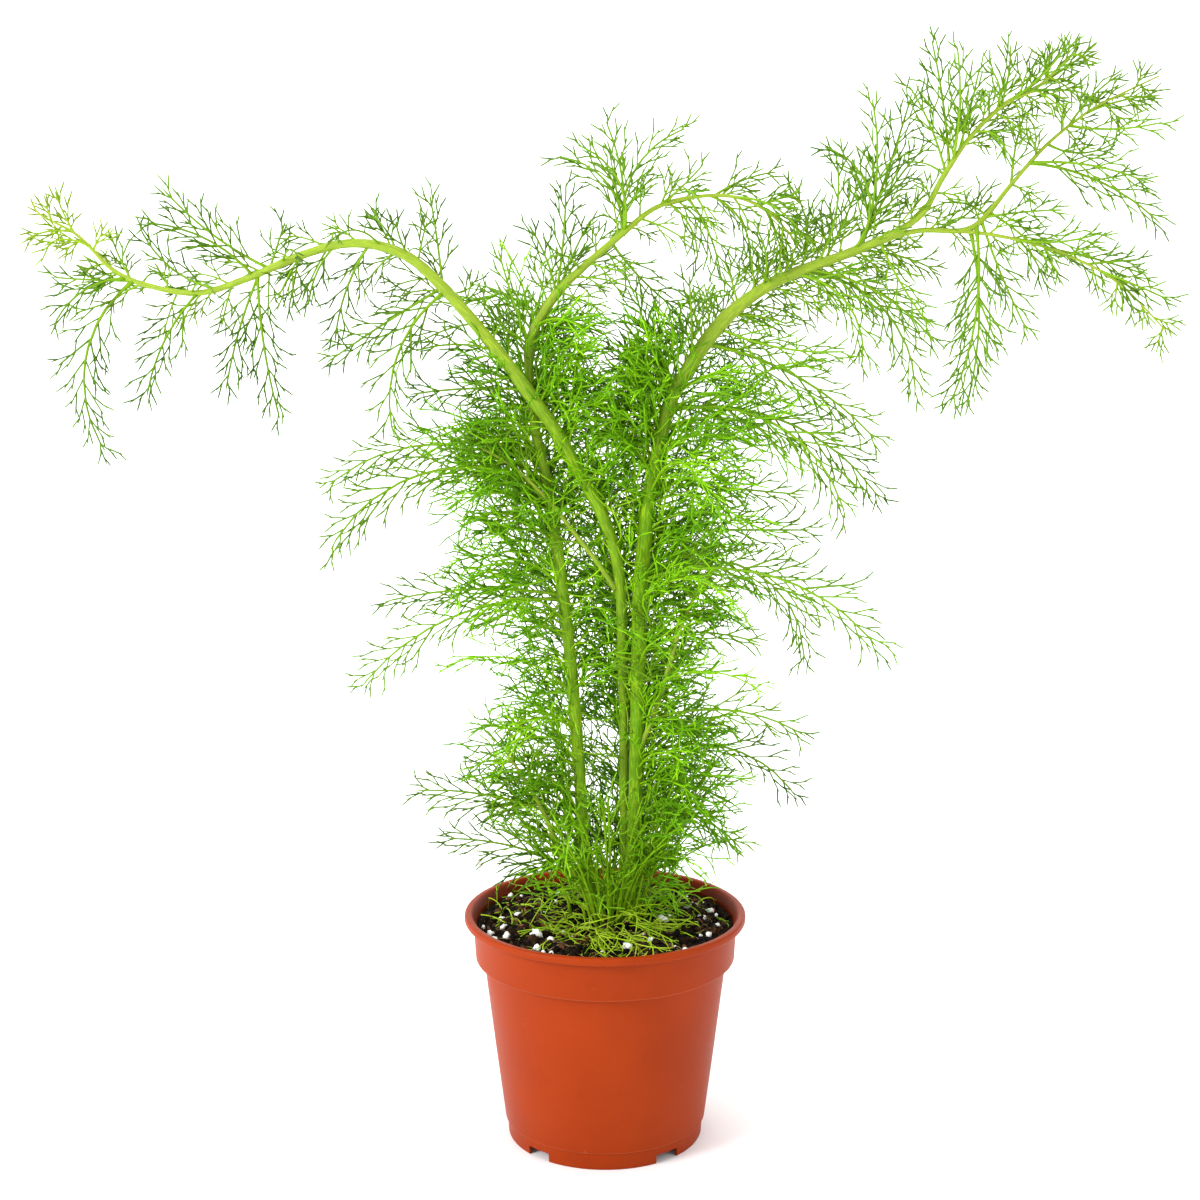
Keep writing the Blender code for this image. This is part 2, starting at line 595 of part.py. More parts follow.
def make_soil(feet):
    """The soil, with a plain blind hole for each foot (x, y, radius, bottom)."""
    rings = np.linspace(SOIL_EDGE_RADIUS, 0, SOIL_RINGS + 1)
    outline = [*SOIL_OUTLINE, *((radius, SOIL_LEVEL) for radius in rings)]
    soil = lathe("soil", outline, POT_SEGMENTS)
    points = np.empty(len(soil.data.vertices) * 3)
    soil.data.vertices.foreach_get("co", points)
    points = points.reshape(-1, 3) / MM
    top = points[:, 2] > SOIL_LEVEL - 1
    points[top, 2] = soil_height(points[top, 0], points[top, 1])
    soil.data.vertices.foreach_set("co", (points * MM).ravel())
    soil.data.update()
    fused(soil, [perlite_grain(k, *place) for k, place in enumerate(perlite_places())])
    holes = []
    for number, (x, y, radius, bottom) in enumerate(feet):
        path = np.array([(x, y, bottom - HOLE_GAP), (x, y, SOIL_LEVEL + 12)])
        sides = 6 if radius < PETIOLE_DIAMETER else 10
        side = np.tile(UPRIGHT_SIDE, (2, 1))
        holes.append(tube(f"hole_{number}", path, np.full(2, radius), side, sides))
    fused(soil, holes, operation="DIFFERENCE")
    finish(soil, material("potting_soil", (0.035, 0.02, 0.012), 0.95))


def make_stem(name, parts, stems, fronds):
    """One stem with its branches, fronds and needles in one solid."""
    trunk = stem_tube("dill_" + name, stems[name])
    pieces = [stem_tube("branch_" + part, stems[part]) for part in parts[1:]]
    for number, (frond, roots, tips) in enumerate(fronds):
        pieces += frond_pieces(frond, roots, tips, number)
    fused(trunk, pieces)
    finish(trunk, material(f"dill_{name}_green", (0.18, 0.36, 0.04), 0.5))


def basal_sprays(space):
    """The name, foot in the soil, frond and needles of each basal spray."""
    for number, (across, behind, azimuth, length, tip_rise) in enumerate(BASAL_SPRAYS):
        name, node = f"basal_{number + 1}", 3 + number
        ground = float(soil_height(across, behind))
        root = np.array((across, behind, ground + 3.5))
        ways = free_frond(name, root, azimuth, (82, tip_rise), length)
        frond = placed(space, ways, node, 0)
        yield name, np.array((across, behind, ground - FOOT_DEPTH)), frond, *kept_needles(
            space, frond, node, 0
        )


def make_basal(name, foot, frond, roots, tips, leaf):
    """A basal spray: an upright petiole out of the soil, its rachis and its needles."""
    path = np.array([foot, frond.path[0] + (0, 0, 0.6)])
    spray = tube(name, path, np.full(2, PETIOLE_DIAMETER / 2), np.tile(UPRIGHT_SIDE, (2, 1)), 6)
    fused(spray, frond_pieces(frond, roots, tips, name))
    finish(spray, leaf)


def main():
    for thing in list(bpy.data.objects):
        bpy.data.objects.remove(thing)
    space, stems, fronds = grow()
    kept = [
        (frond, *kept_needles(space, frond, node_of(frond.node), number))
        for number, frond in fronds
    ]
    make_pot()
    feet = []
    for name in STEMS:
        parts = [part for part in stems if part.split("_")[0] == name]
        make_stem(name, parts, stems, [item for item in kept if item[0].node in parts])
        points = stem_points(stems[name])
        x, y = points[:3, :2].mean(axis=0)
        feet.append((x, y, stems[name][0, 3] / 2 + 3 * HOLE_GAP, points[0, 2]))
    leaf = material("basal_green", (0.3, 0.45, 0.06), 0.5)
    for name, foot, frond, roots, tips in basal_sprays(space):
        make_basal(name, foot, frond, roots, tips, leaf)
        feet.append((foot[0], foot[1], PETIOLE_DIAMETER / 2 + HOLE_GAP, foot[2]))
    make_soil(feet)


main()
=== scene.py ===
"""Potted dill: three leafy stems over a mat of basal leaves, in a soil-filled nursery pot.

Shapes are worked out in millimetres as whole numpy arrays and put into meshes in metres.
-Y is the front. The tables of stems and fronds are those of the solids: they are drawn on
the upright plane y = 0 as seen from EYE, with a depth behind that plane.
"""

import math
from collections import namedtuple

import bpy
import numpy as np
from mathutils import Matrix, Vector


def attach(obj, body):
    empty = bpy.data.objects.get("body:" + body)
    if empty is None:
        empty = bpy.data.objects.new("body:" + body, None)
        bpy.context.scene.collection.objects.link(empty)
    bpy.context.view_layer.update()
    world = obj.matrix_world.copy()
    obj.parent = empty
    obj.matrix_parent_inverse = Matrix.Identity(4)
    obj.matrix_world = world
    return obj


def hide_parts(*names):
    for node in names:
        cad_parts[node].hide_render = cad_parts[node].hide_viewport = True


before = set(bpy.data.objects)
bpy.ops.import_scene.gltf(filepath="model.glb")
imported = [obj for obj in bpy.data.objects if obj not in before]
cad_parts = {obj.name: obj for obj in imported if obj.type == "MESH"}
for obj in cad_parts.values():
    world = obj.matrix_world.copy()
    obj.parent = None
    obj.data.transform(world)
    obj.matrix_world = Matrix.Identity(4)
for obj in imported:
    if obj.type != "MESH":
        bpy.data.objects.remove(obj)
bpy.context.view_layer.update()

MM = 0.001
SEED = 7
GOLDEN = 0.618034

# Camera: it stands level with the middle of the plant and looks a little down.
CAMERA_PLACE = (-0.00236, -0.850, 0.3995)
CAMERA_TILT = 9.776  # degrees down
CAMERA_LENS = 57.28  # millimetres, on a sensor 36 mm wide

# Pot: outline in millimetres as (radius, height, rounding), from the middle of the
# underside outwards, up the outside, over the rim and down the inside to the floor.
POT_OUTLINE = (
    (0, 0, 0), (20, 0, 0.3), (20.5, 4, 0.4), (43.9, 4, 0.4), (44.1, 0, 0.3),
    (45.4, 0, 0.6), (45.9, 7.9, 0.1), (46.9, 8.4, 0.35), (51.4, 44, 0), (56.2, 83.6, 0.8),
    (56.7, 84.8, 0.4), (60.1, 85.8, 0.5), (61.1, 103, 0.6), (64.8, 103.5, 0.5),
    (65.2, 104.3, 0.4), (65.2, 106.2, 0.8), (64.4, 107, 0.8), (62.2, 107, 0.9),
    (61.5, 106.2, 0.9), (59.6, 102.6, 1.6), (58.8, 88.4, 0.8), (55.3, 86.2, 0.8),
    (44.8, 5.2, 0.6), (19.4, 5.2, 0.4), (18.8, 1.2, 0.3), (0, 1.2, 0),
)
ROUNDING_STEPS = 5
POT_SEGMENTS = 192
NOTCH_TURNS = (-132, -51.5, 48, 128.5)  # degrees from +X
NOTCH_WIDTH = 12.2
NOTCH_TOP = 4.3
NOTCH_INNER_RADIUS = 37.0
NOTCH_OUTER_RADIUS = 50.0
DRAIN_OUTER_RADIUS = 43.4
DRAIN_TOP = 7.0
# Light and shade painted on the pot, in metres. Each part with painted shade, inside the rim, has
# the radii over which that shade ends outwards, and the heights over which it begins.
PAINTED_HIGHLIGHT_EDGES = ((0.0857, 0.0004), (0.0083, 0.0004))  # painted highlight on the step edges: height and half width
PAINTED_SHADE_WALL = ((0.0597, 0.0600), (0.0865, 0.0870))
PAINTED_SHADE_LIP = ((0.0622, 0.0628), (0.1030, 0.1034))
RIM_FADE = (0.1045, 0.1064)  # heights over which all of the painted shade fades out

# Soil: outline in millimetres as (radius, height)
SOIL_OUTLINE = (
    (0, 1.5), (18.5, 1.5), (19.1, 5.5), (44.4, 5.5), (54.9, 86.4), (58.4, 88.7),
)
SOIL_LEVEL = 101.0
SOIL_EDGE_RADIUS = 59.1
SOIL_RINGS = 70
SOIL_SEGMENTS = 180
CRUMBS = 1500
SMALL_GRAINS = 24
CHIPS = 75
FIBRES = 130
FIBRE_STEPS = 6
FIBRE_REACH = 56.0
# Bark and perlite that show: (across, behind, diameter)
SHOWN_BARK = ((-38.3, 14.2, 6.5), (-40.4, -3.8, 5.5), (9.1, -11.8, 5.0))
PERLITE = (
    (-45.4, 32.7, 4.2), (-47.5, -0.1, 5.2), (-40.8, 6.9, 3.6), (-46.8, -12.5, 3.4),
    (-44.6, -23.1, 4.8), (-32.7, -23.1, 3.8), (-30.5, -26.3, 4.8), (-24.4, -29.6, 4.6),
    (-19.2, -19.2, 3.6), (-30.5, -36.1, 3.6), (-22.3, 36.5, 3.2), (-18.8, 32.0, 3.4),
    (2.4, 22.6, 3.6), (27.2, -4.3, 4.8), (42.2, 18.3, 4.0), (38.8, 15.4, 3.0),
    (49.6, 11.0, 3.8), (45.3, 2.7, 3.6), (20.6, -30.9, 3.6), (17.6, -22.1, 2.6),
    (14.3, -19.2, 2.4), (9.7, -38.1, 4.0), (35.4, -40.3, 3.2), (47.2, -20.6, 3.0),
    (-56.0, -9.0, 3.0), (-52.5, -19.5, 3.4), (-50.0, -24.5, 2.6), (-24.0, -46.0, 3.0),
    (-20.0, -49.0, 2.4), (-27.5, -43.5, 2.2), (31.0, -34.5, 2.2), (41.0, -24.0, 2.4),
    (27.0, -46.5, 2.4), (52.0, -8.0, 3.2),
)

EYE = np.array((-2.4, -850.0, 399.5))  # where the tables below are seen from
# Stems and branches: (across, up, behind, diameter)
STEMS = {
    "left": (
        (11, 74, 7.5, 4.6), (9.8, 109, 7, 4.5), (8.8, 160, 6, 4.4), (8.2, 215, 4, 4.6),
        (4.4, 275, -1, 5.2), (-16.6, 320, -7, 5.7), (-31, 342, -8.5, 5.9), (-48, 365, -9, 5.6),
        (-71, 392, -10, 4.9), (-89, 407, -10, 4.3), (-111, 411.5, -9, 3.9), (-134, 406, -7, 3.5),
        (-158, 396, -4, 3.0), (-179, 390, -1, 2.6), (-200, 393, 2, 2.3), (-216, 400, 4, 1.9),
        (-231, 415, 5, 1.3), (-247, 424, 6, 0.9), (-251, 432, 7, 0.7),
    ),
    "middle": (
        (-5, 74, 1, 5.2), (-6, 109, 1, 5.0), (-10, 140, 1, 5.2), (-12, 177, 1, 5.4),
        (-16, 228, 1, 5.4), (-19.5, 259, 1, 5.3), (-25, 301, 1, 4.8), (-31.4, 332, 1.5, 4.3),
        (-34, 362, 2, 4.0), (-31, 375, 2.5, 4.2), (-22, 389, 3, 4.3), (-11, 400, 4, 3.4),
        (9, 417, 5, 2.8), (22.5, 427, 5, 2.1), (40, 431.5, 4, 1.7), (58, 431, 3, 1.4),
        (72, 424, 1, 1.1), (83, 413, -1, 0.8),
    ),
    "right": (
        (9, 74, -4, 5.6), (10.6, 109, -4, 6.2), (13.6, 150, -3.5, 6.3), (14.7, 200, -3, 6.5),
        (16, 256, -2, 7.0), (20, 301, -1, 6.2), (27.6, 338, 0, 5.7), (38, 359, 1, 6.4),
        (52, 378, 2, 6.4), (68, 391, 3, 5.2), (84, 399, 4, 4.8), (106, 407, 5, 4.1),
        (131, 417, 5, 3.8),
    ),
}
BRANCHES = {
    "right_upper": (
        (122, 413, 5, 3.2), (138, 424, 4, 2.9), (147, 440, 2, 2.4), (158, 456.5, 0, 2.0),
        (173, 471, -3, 1.8), (185.5, 477, -5, 1.4), (202, 492, -8, 0.8),
    ),
    "right_outer": (
        (122, 413.5, 5, 2.6), (138, 417, 6, 2.3), (156, 417, 7, 2.4), (165, 422, 8, 2.5),
        (177, 437, 10, 1.9), (192, 454, 12, 1.6), (209, 467.5, 14, 1.2), (222, 474.5, 15, 1.0),
        (240, 483, 17, 0.7),
    ),
    "right_low": (
        (150, 417, 7, 1.8), (170, 415, 6, 1.6), (195, 409, 3, 1.4), (223, 396, -1, 1.1),
        (248, 373, -5, 0.7),
    ),
}
# Thick petioles that leave the stems inside the bush, as for the stems
PETIOLES = {
    "left_petiole": (
        (4.6, 258, 0, 2.4), (-3.7, 270.4, -3, 2.2), (-15, 285, -5, 2.0), (-27, 300, -6, 1.7),
        (-42, 314, -8, 1.3), (-56, 322, -10, 0.9),
    ),
    "middle_petiole": (
        (-7.5, 116, 0, 2.8), (-13.9, 124, -3, 2.7), (-20.8, 136, -5, 2.5), (-29.5, 156, -6, 2.1),
        (-38, 171, -6, 1.5), (-46, 183, -6, 1.1),
    ),
    "right_petiole": (
        (15, 182, -4, 2.5), (22.7, 201, -6, 2.4), (28, 219, -7, 2.2), (33, 237, -7, 1.9),
        (40, 254, -6, 1.4), (48, 266, -5, 1.0),
    ),
}
FINE_STEP = 1.0  # for finding places along a stem
STEM_STEP = 2.0
STEM_CORNERS = 20
RIBS = 11
RIB_DEPTH = 0.02
NODE_SWELL = 0.07
NODE_WIDTH = 1.7
SKIN_TWIST = 0.004  # turn of the skin's streaks, in radians for each millimetre
SKIN_LENGTH = 22.0
PAINTED_LIGHT_FROM, PAINTED_LIGHT_TO = 310.0, 380.0  # heights between which the stems turn paler, as painted light on the high arms

# Fronds that make the outline: root (across, up), bearing at the root and at the tip in
# degrees anticlockwise from +X, and length, all as drawn.
OUTER_FRONDS = {
    "left": (
        (-71, 393, 95, 100, 42), (-71, 390, -145, -75, 74), (-74, 390, -150, -145, 64),
        (-104, 409, -125, -95, 48), (-118, 409, -135, -95, 30), (-91, 409, 105, 145, 20),
        (-85, 406, 125, 95, 18), (-148, 403, 155, 130, 60),
        (-148, 403, 70, 70, 22), (-156, 401, 130, 180, 56),
        (-171, 393, 170, 110, 46), (-152, 398, -115, -100, 56), (-152, 397, -90, -75, 66),
        (-134, 405, -100, -105, 24), (-179, 389, -135, -100, 54),
        (-208, 393, -145, -55, 88), (-207, 395, 180, 175, 36), (-210, 396, -180, -115, 42),
        (-208, 397, 120, 105, 22), (-226, 409, 145, 215, 22),
        (-234, 416, 170, 210, 22), (-233, 415, 120, 105, 20),
        (-48, 364, 160, 200, 38), (-38, 345, 175, 190, 54),
    ),
    "middle": (
        (-27, 305, 140, 225, 112), (-27, 303, 150, 245, 118), (-20, 253, 175, 235, 110),
        (-20, 255, 170, 195, 84), (8, 417, 85, 115, 50), (8, 417, 100, 15, 58),
        (8, 417, 75, 165, 48), (7, 416, 85, 180, 50), (-22, 390, 80, 90, 50),
        (-22, 390, 100, 125, 34), (-21, 391, 70, 60, 36), (-33, 367, 110, 105, 46),
        (-34, 363, 130, 130, 36),
        (3, 412, -55, -35, 42), (-7, 403, -25, 0, 18), (36, 430, -50, -85, 40),
        (46, 432, -20, -105, 40), (58, 431, 0, -55, 32),
        (48, 432, 35, 5, 30), (22, 427, 35, 50, 28),
        (27, 429, -30, -95, 30),
    ),
    "right": (
        (32, 348, 125, 100, 50), (37, 360, 90, 95, 40), (28, 340, 115, 160, 42),
        (45, 367, -10, -50, 94), (50, 374, -25, 5, 60), (27, 339, 10, -60, 116),
        (27, 338, 15, -80, 108), (21, 307, -5, -5, 70), (19, 285, 0, 0, 78),
        (17, 262, 20, -55, 124), (17, 261, 40, -100, 110), (16, 235, 15, -20, 58),
        (15, 195, 25, -35, 84), (15, 179, 30, -60, 86), (14, 155, 10, -55, 58),
        (110, 412, 70, 105, 68), (110, 412, 70, 75, 72), (107, 411, 45, 170, 58),
        (110, 412, 70, 45, 54), (92, 403, 60, 105, 52), (85, 401, 65, 135, 42),
        (95, 404, 60, 75, 40), (68, 392, 65, 125, 28), (85, 398, 0, -95, 88),
        (88, 399, -5, -55, 72), (83, 398, -5, -105, 60),
        (110, 408, 0, -30, 40), (120, 413, -65, -50, 46),
    ),
    "right_upper": (
        (149, 445, 95, 105, 56), (150, 447, 80, 100, 50), (152, 451, 75, 80, 38),
        (148, 442, 105, 125, 42), (170, 467, 65, 145, 22), (171, 469, 70, 95, 28),
        (174, 471, 30, 60, 38), (175, 472, 25, 40, 40),
        (183, 477, 10, -15, 26), (160, 459, 20, -100, 22),
    ),
    "right_outer": (
        (140, 424, 5, 65, 34), (166, 422, 10, 0, 36), (177, 436, 90, 70, 34),
        (185, 445, -5, -45, 68), (185, 445, 5, -25, 56),
        (192, 454, -30, 35, 32), (200, 462, -10, 15, 42), (208, 467, 25, 0, 34),
        (200, 462, 60, 30, 32), (161, 420, -80, -115, 84), (159, 419, -75, -105, 82),
        (165, 421, -70, -60, 56), (168, 425, -30, -50, 42),
    ),
    "right_low": (
        (180, 412, -40, -75, 24), (180, 412, -10, 20, 38),
        (211, 403, 5, 5, 24), (195, 409, -10, -20, 46), (217, 399, -20, -25, 36),
        (222, 396, -35, -80, 20),
    ),
}
OUTER_LEAN = 0.45  # most that an outer frond leans forward or back, for each unit it runs
RIM_TOP = 107.0
RIM_TOP_REACH = 48.0  # foliage further out than this stays above the rim
WALL_REACH = 57.6  # and below the rim's top it stays within this radius

# Fronds of the bushy middle: on each stem from and to a height, how many, and the sector
# of azimuths that they fill, in degrees from +X towards the back.
INNER_FRONDS = {
    "left": (128, 300, 8, 35, 125),
    "middle": (118, 350, 14, 125, 275),
    "right": (118, 340, 14, -82, 35),
}
INNER_LENGTH = 88.0
INNER_NARROWING = 0.35  # how much shorter they are where they point sideways
INNER_RISE = (48.0, -30.0)  # elevation at the root and at the tip
INNER_RISE_SPREAD = (14.0, 22.0)

# Fronds along the arching arms that point to the front and the back: from and to a
# length along the stem, and how many.
ARM_FRONDS = {
    "left": (345, 500, 7),
    "middle": (300, 420, 5),
    "right": (300, 400, 4),
    "right_upper": (20, 95, 2),
    "right_outer": (30, 135, 3),
    "right_low": (20, 80, 1),
}
ARM_LENGTH = 46.0
ARM_RISE = (35.0, -40.0)
ARM_TURN = 35.0

# Basal sprays: (across, behind) of the foot in the soil, azimuth, length, rise at the tip
BASAL_SPRAYS = (
    (-16, -6, 205, 62, 20), (-14, 10, 150, 58, 10), (2, -17, 262, 46, -35), (-9, -14, 232, 44, -40),
    (18, -12, 305, 46, -30), (22, 2, 350, 56, 5), (14, 17, 60, 58, 10), (-4, 17, 110, 54, 10),
)

# Small fronds that fill the bushy middle beside those of the solids: on each stem from and
# to a height, how many, sector of azimuths, lengths, and rise at the root and at the tip.
FILL_FRONDS = {
    "middle": (
        (106, 135, 9, (90, 220), (24, 44), (55, -10)),
        (135, 195, 17, (90, 215), (32, 58), (50, -25)),
        (195, 235, 13, (90, 210), (18, 36), (50, -20)),
        (235, 330, 36, (85, 215), (38, 72), (52, -25)),
        (262, 320, 5, (165, 205), (48, 70), (40, -30)),
        (150, 200, 5, (160, 205), (48, 66), (40, -20)),
        (205, 235, 3, (150, 205), (34, 50), (45, -20)),
        (200, 330, 15, (-40, 85), (18, 38), (55, -15)),
        (300, 380, 15, (60, 235), (26, 50), (62, 0)),
        (312, 355, 9, (-20, 70), (28, 46), (72, 20)),
        (335, 378, 14, (-50, 50), (26, 46), (35, -20)),
    ),
    "left": (
        (106, 200, 29, (25, 155), (24, 50), (55, -15)),
        (200, 300, 32, (10, 175), (30, 62), (55, -15)),
        (185, 270, 42, (50, 150), (16, 34), (50, -10)),
        (250, 335, 11, (-30, 120), (26, 48), (58, 0)),
        (300, 345, 12, (-40, 60), (28, 48), (60, 20)),
    ),
    "right": (
        (106, 135, 11, (-50, 90), (22, 38), (55, -10)),
        (135, 200, 28, (-50, 90), (30, 60), (50, -25)),
        (200, 240, 15, (-40, 90), (20, 38), (48, -20)),
        (240, 300, 26, (-35, 95), (34, 58), (50, -25)),
        (295, 350, 16, (-35, 80), (40, 80), (45, -35)),
        (150, 200, 5, (-25, 20), (48, 66), (40, -25)),
        (232, 262, 3, (-15, 20), (52, 70), (40, -30)),
        (270, 330, 9, (95, 225), (32, 56), (60, -5)),
        (300, 350, 19, (100, 200), (40, 62), (74, 30)),
        (320, 360, 12, (110, 225), (24, 40), (45, -20)),
        (350, 392, 8, (20, 150), (20, 36), (50, -20)),
    ),
}
FILL_NARROWING = 0.25  # how much shorter they are where they point sideways
FILL_RISE_SPREAD = (18, 28)

# Threads that cling to the stems: from and to a height, and how many
CLINGING = {"left": (104, 320, 34), "middle": (104, 340, 44), "right": (104, 345, 48)}

# Small leaves along the arms and the thick petioles: on each from and to a length along it,
# how many, and their lengths
FILL_ARMS = {
    "left": ((262, 505, 42, (14, 30)), (498, 542, 10, (7, 13))),
    "middle": (
        (40, 60, 1, (84, 96)), (70, 92, 1, (80, 92)), (262, 325, 9, (22, 38)),
        (290, 440, 30, (14, 30)), (425, 446, 6, (9, 16)),
    ),
    "right": ((285, 398, 36, (16, 34)), (295, 345, 9, (18, 34)), (335, 385, 5, (26, 42))),
    "right_upper": ((8, 60, 8, (10, 22)), (50, 100, 20, (10, 22)), (95, 118, 4, (7, 12))),
    "right_outer": ((10, 135, 9, (9, 18)), (95, 142, 7, (8, 13))),
    "right_low": ((10, 109, 12, (8, 15)),),
    "left_petiole": ((22, 84, 12, (16, 30)),),
    "middle_petiole": ((20, 80, 12, (16, 30)), (45, 82, 5, (22, 34))),
    "right_petiole": ((30, 92, 14, (16, 30)),),
}
ARM_SECTOR = 220.0  # degrees round an arm that leaves grow from, turned from the viewer
ARM_LEAF_ANGLES = (35, 65)
ARM_LEAF_DROOP = 0.25
# The middle and right stems' leaves are made brighter: painted light where the key light from the
# left reaches them less.
ARM_PAINTED_LIGHT = {"left": 0.44, "middle": 0.78, "right": 0.84}  # from 0, dark, to 1, bright; painted light
YOUNG_REACH = -216.0  # growth further left than this is young and pale

# Threads and strands
PINNA_RADIUS = 0.47
THREAD_RADIUS = 0.42
FORK_RADIUS = 0.39
CLINGING_RADIUS = 0.36
MAT_RADIUS = 0.33
STRAND_STEPS = 10
CLINGING_LENGTHS = (9, 24)
BUSH_MIDDLE = 3.0  # across
MAT_STRANDS = 180
MAT_MIDDLE = (BUSH_MIDDLE, -6.0)  # across, behind
MAT_REACH = 24.0  # of the strands' feet
MAT_LENGTHS = (14, 40)
MAT_YAWS = (60, 230)
BACK_STRANDS = 70
BACK_LENGTHS = (10, 26)
RISERS = 36
RISERS_MIDDLE = (BUSH_MIDDLE, -2.0)
RISER_FEET = (4, 13)  # radius
RISER_LENGTHS = (26, 90)
SOIL_CLEARANCE = 0.8
POT_REACH = 75.0  # foliage within this radius is kept out of the soil

# How the fronds of the solids are kept clear of each other: where one would touch another,
# it leans or turns otherwise.
RACHIS_RADIUS = 1.0
CLEARANCE = 0.4
SAMPLES = 25  # points along a frond
OTHER_LEANS = (0, 0.2, -0.2, 0.4, -0.4, 0.7, -0.7)
OTHER_TURNS = (0, 12, -12, 24, -24, 36, -36)

# Floor, backdrop and lights
FLOOR_REACH = 4000
CURVE_START = 2200
CURVE_RADIUS = 800
CURVE_STEPS = 10
LIGHTS = (  # name, place, width, power
    ("key", (-1.5, -0.95, 1.0), 0.8, 38),
    ("fill", (1.4, -1.0, 0.9), 1.2, 8),
    ("top", (0, 0.1, 2.2), 1.5, 27),
)
LIGHT_TARGET = (0, 0, 0.2)

# Colours, as linear red, green and blue: of leaves from dark to bright, of the rest by
# their place on a ramp, or alone where one is mixed in
LEAF_GREENS = ((0.035, 0.10, 0.004), (0.072, 0.175, 0.007), (0.14, 0.30, 0.012))
# Greens of the bush's leaves: brighter than the outer ones, as the bush's threads are, and raised
# further as painted light against the shade inside the bush
INNER_GREENS = ((0.062, 0.20, 0.001), (0.115, 0.33, 0.002), (0.24, 0.54, 0.005))
MAT_GREENS = ((0.12, 0.29, 0.002), (0.29, 0.50, 0.01), (0.55, 0.70, 0.07))
RACHIS_GREEN = (0.18, 0.34, 0.004)
YOUNG_GREEN = (0.36, 0.5, 0.015)
STEM_GREENS = (
    (0.34, (0.08, 0.20, 0.001)), (0.5, (0.145, 0.29, 0.002)), (0.64, (0.27, 0.42, 0.008)),
)
STEM_BLOTCH = (0.09, 0.24, 0.001)
STEM_RING = (0.07, 0.19, 0.001)
# paler stem colour: young growth, and painted light on the high arms
YOUNG_STEM_AND_PAINTED_LIGHT = (0.33, 0.38, 0.05)
POT_REDS = ((0.0, (0.25, 0.025, 0.001)), (1.0, (0.30, 0.033, 0.002)))
POT_SCUFF = (0.5, 0.11, 0.05)
# painted highlight on the pot's step edges
POT_EDGE_HIGHLIGHT = (0.55, 0.14, 0.06)
# painted shade inside the rim
POT_PAINTED_SHADE = (0.13, 0.017, 0.002)
EARTH = (
    (0.2, (0.0015, 0.001, 0.0005)), (0.55, (0.014, 0.007, 0.003)), (0.9, (0.15, 0.07, 0.028)),
)
PERLITE_WHITES = (
    (0.0, (0.8, 0.77, 0.7)), (0.3, (0.92, 0.91, 0.88)), (1.0, (0.98, 0.98, 0.97)),
)
BARK_BROWNS = (
    (0.0, (0.04, 0.015, 0.007)), (0.5, (0.16, 0.055, 0.022)), (1.0, (0.4, 0.16, 0.06)),
)
FIBRE_STRAWS = (
    (0.0, (0.08, 0.045, 0.02)), (0.5, (0.2, 0.13, 0.06)), (1.0, (0.42, 0.34, 0.16)),
)
FLOOR_WHITES = ((0, (0.9, 0.9, 0.9)), (1, (0.92, 0.92, 0.92)))

Frond = namedtuple("Frond", "node path side length")
Branches = namedtuple("Branches", "paths sides lengths shade young")
Shape = namedtuple("Shape", "points faces values")


# Working with arrays


def unit(vectors):
    return vectors / np.linalg.norm(vectors, axis=-1, keepdims=True)


def square_to(side, tangent):
    """The part of side that stands square to tangent, at unit length."""
    return unit(side - (side * tangent).sum(axis=-1, keepdims=True) * tangent)


def even_turns(count):
    """Angles at even steps all the way round."""
    return np.arange(count) * 2 * math.pi / count


def circles_round(paths, sides, turn):
    """Unit circles square to the paths: cos(turn) * side + sin(turn) * up at each point."""
    tangent = unit(np.gradient(paths, axis=-2))
    side = square_to(sides, tangent)
    up = np.cross(tangent, side)
    return np.cos(turn)[:, None] * side[..., None, :] + np.sin(turn)[:, None] * up[..., None, :]


def length_along(points):
    """The length run from the first point to each of them."""
    return np.concatenate([[0], np.cumsum(np.linalg.norm(np.diff(points, axis=0), axis=1))])


def smooth(points, step):
    """Catmull-Rom curve through the points, then read off at even steps of its length."""
    points = np.asarray(points, float)
    ends = np.concatenate([[2 * points[0] - points[1]], points, [2 * points[-1] - points[-2]]])
    a, b, c, d = (ends[i : len(ends) - 3 + i, None] for i in range(4))
    t = np.linspace(0, 1, 16, endpoint=False)[None, :, None]
    curve = 0.5 * (2 * b + (c - a) * t + (2 * a - 5 * b + 4 * c - d) * t**2)
    curve = curve + 0.5 * (3 * b - a - 3 * c + d) * t**3
    curve = np.concatenate([curve.reshape(-1, points.shape[1]), points[-1:]])
    length = length_along(curve[:, :3])
    stations = np.linspace(0, length[-1], max(2, round(length[-1] / step)) + 1)
    return np.stack([np.interp(stations, length, column) for column in curve.T], axis=1)


def read_off(rows, owner, share):
    """The value at a share of the way along each owner's row, by straight interpolation."""
    place = np.clip(share, 0, 1) * (rows.shape[1] - 1)
    first = np.minimum(place.astype(int), rows.shape[1] - 2)
    part_way = (place - first)[:, None]
    return rows[owner, first] * (1 - part_way) + rows[owner, first + 1] * part_way


def rounded(outline, steps):
    """The outline with each corner replaced by a curve of its own rounding.

    The curve is quadratic: from the point where the rounding starts on one side, pulled
    towards the corner, to the point where it ends on the other side.
    """
    corners = np.asarray(outline, float)
    kept = [corners[:1, :2]]
    for before, corner, after in zip(corners[:-2], corners[1:-1], corners[2:]):
        size = corner[2]
        if not size:
            kept.append(corner[None, :2])
            continue
        back, ahead = before[:2] - corner[:2], after[:2] - corner[:2]
        start = corner[:2] + unit(back) * min(size, 0.45 * np.linalg.norm(back))
        end = corner[:2] + unit(ahead) * min(size, 0.45 * np.linalg.norm(ahead))
        t = np.linspace(0, 1, steps)[:, None]
        kept.append((1 - t) ** 2 * start + 2 * t * (1 - t) * corner[:2] + t**2 * end)
    kept.append(corners[-1:, :2])
    return np.concatenate(kept)


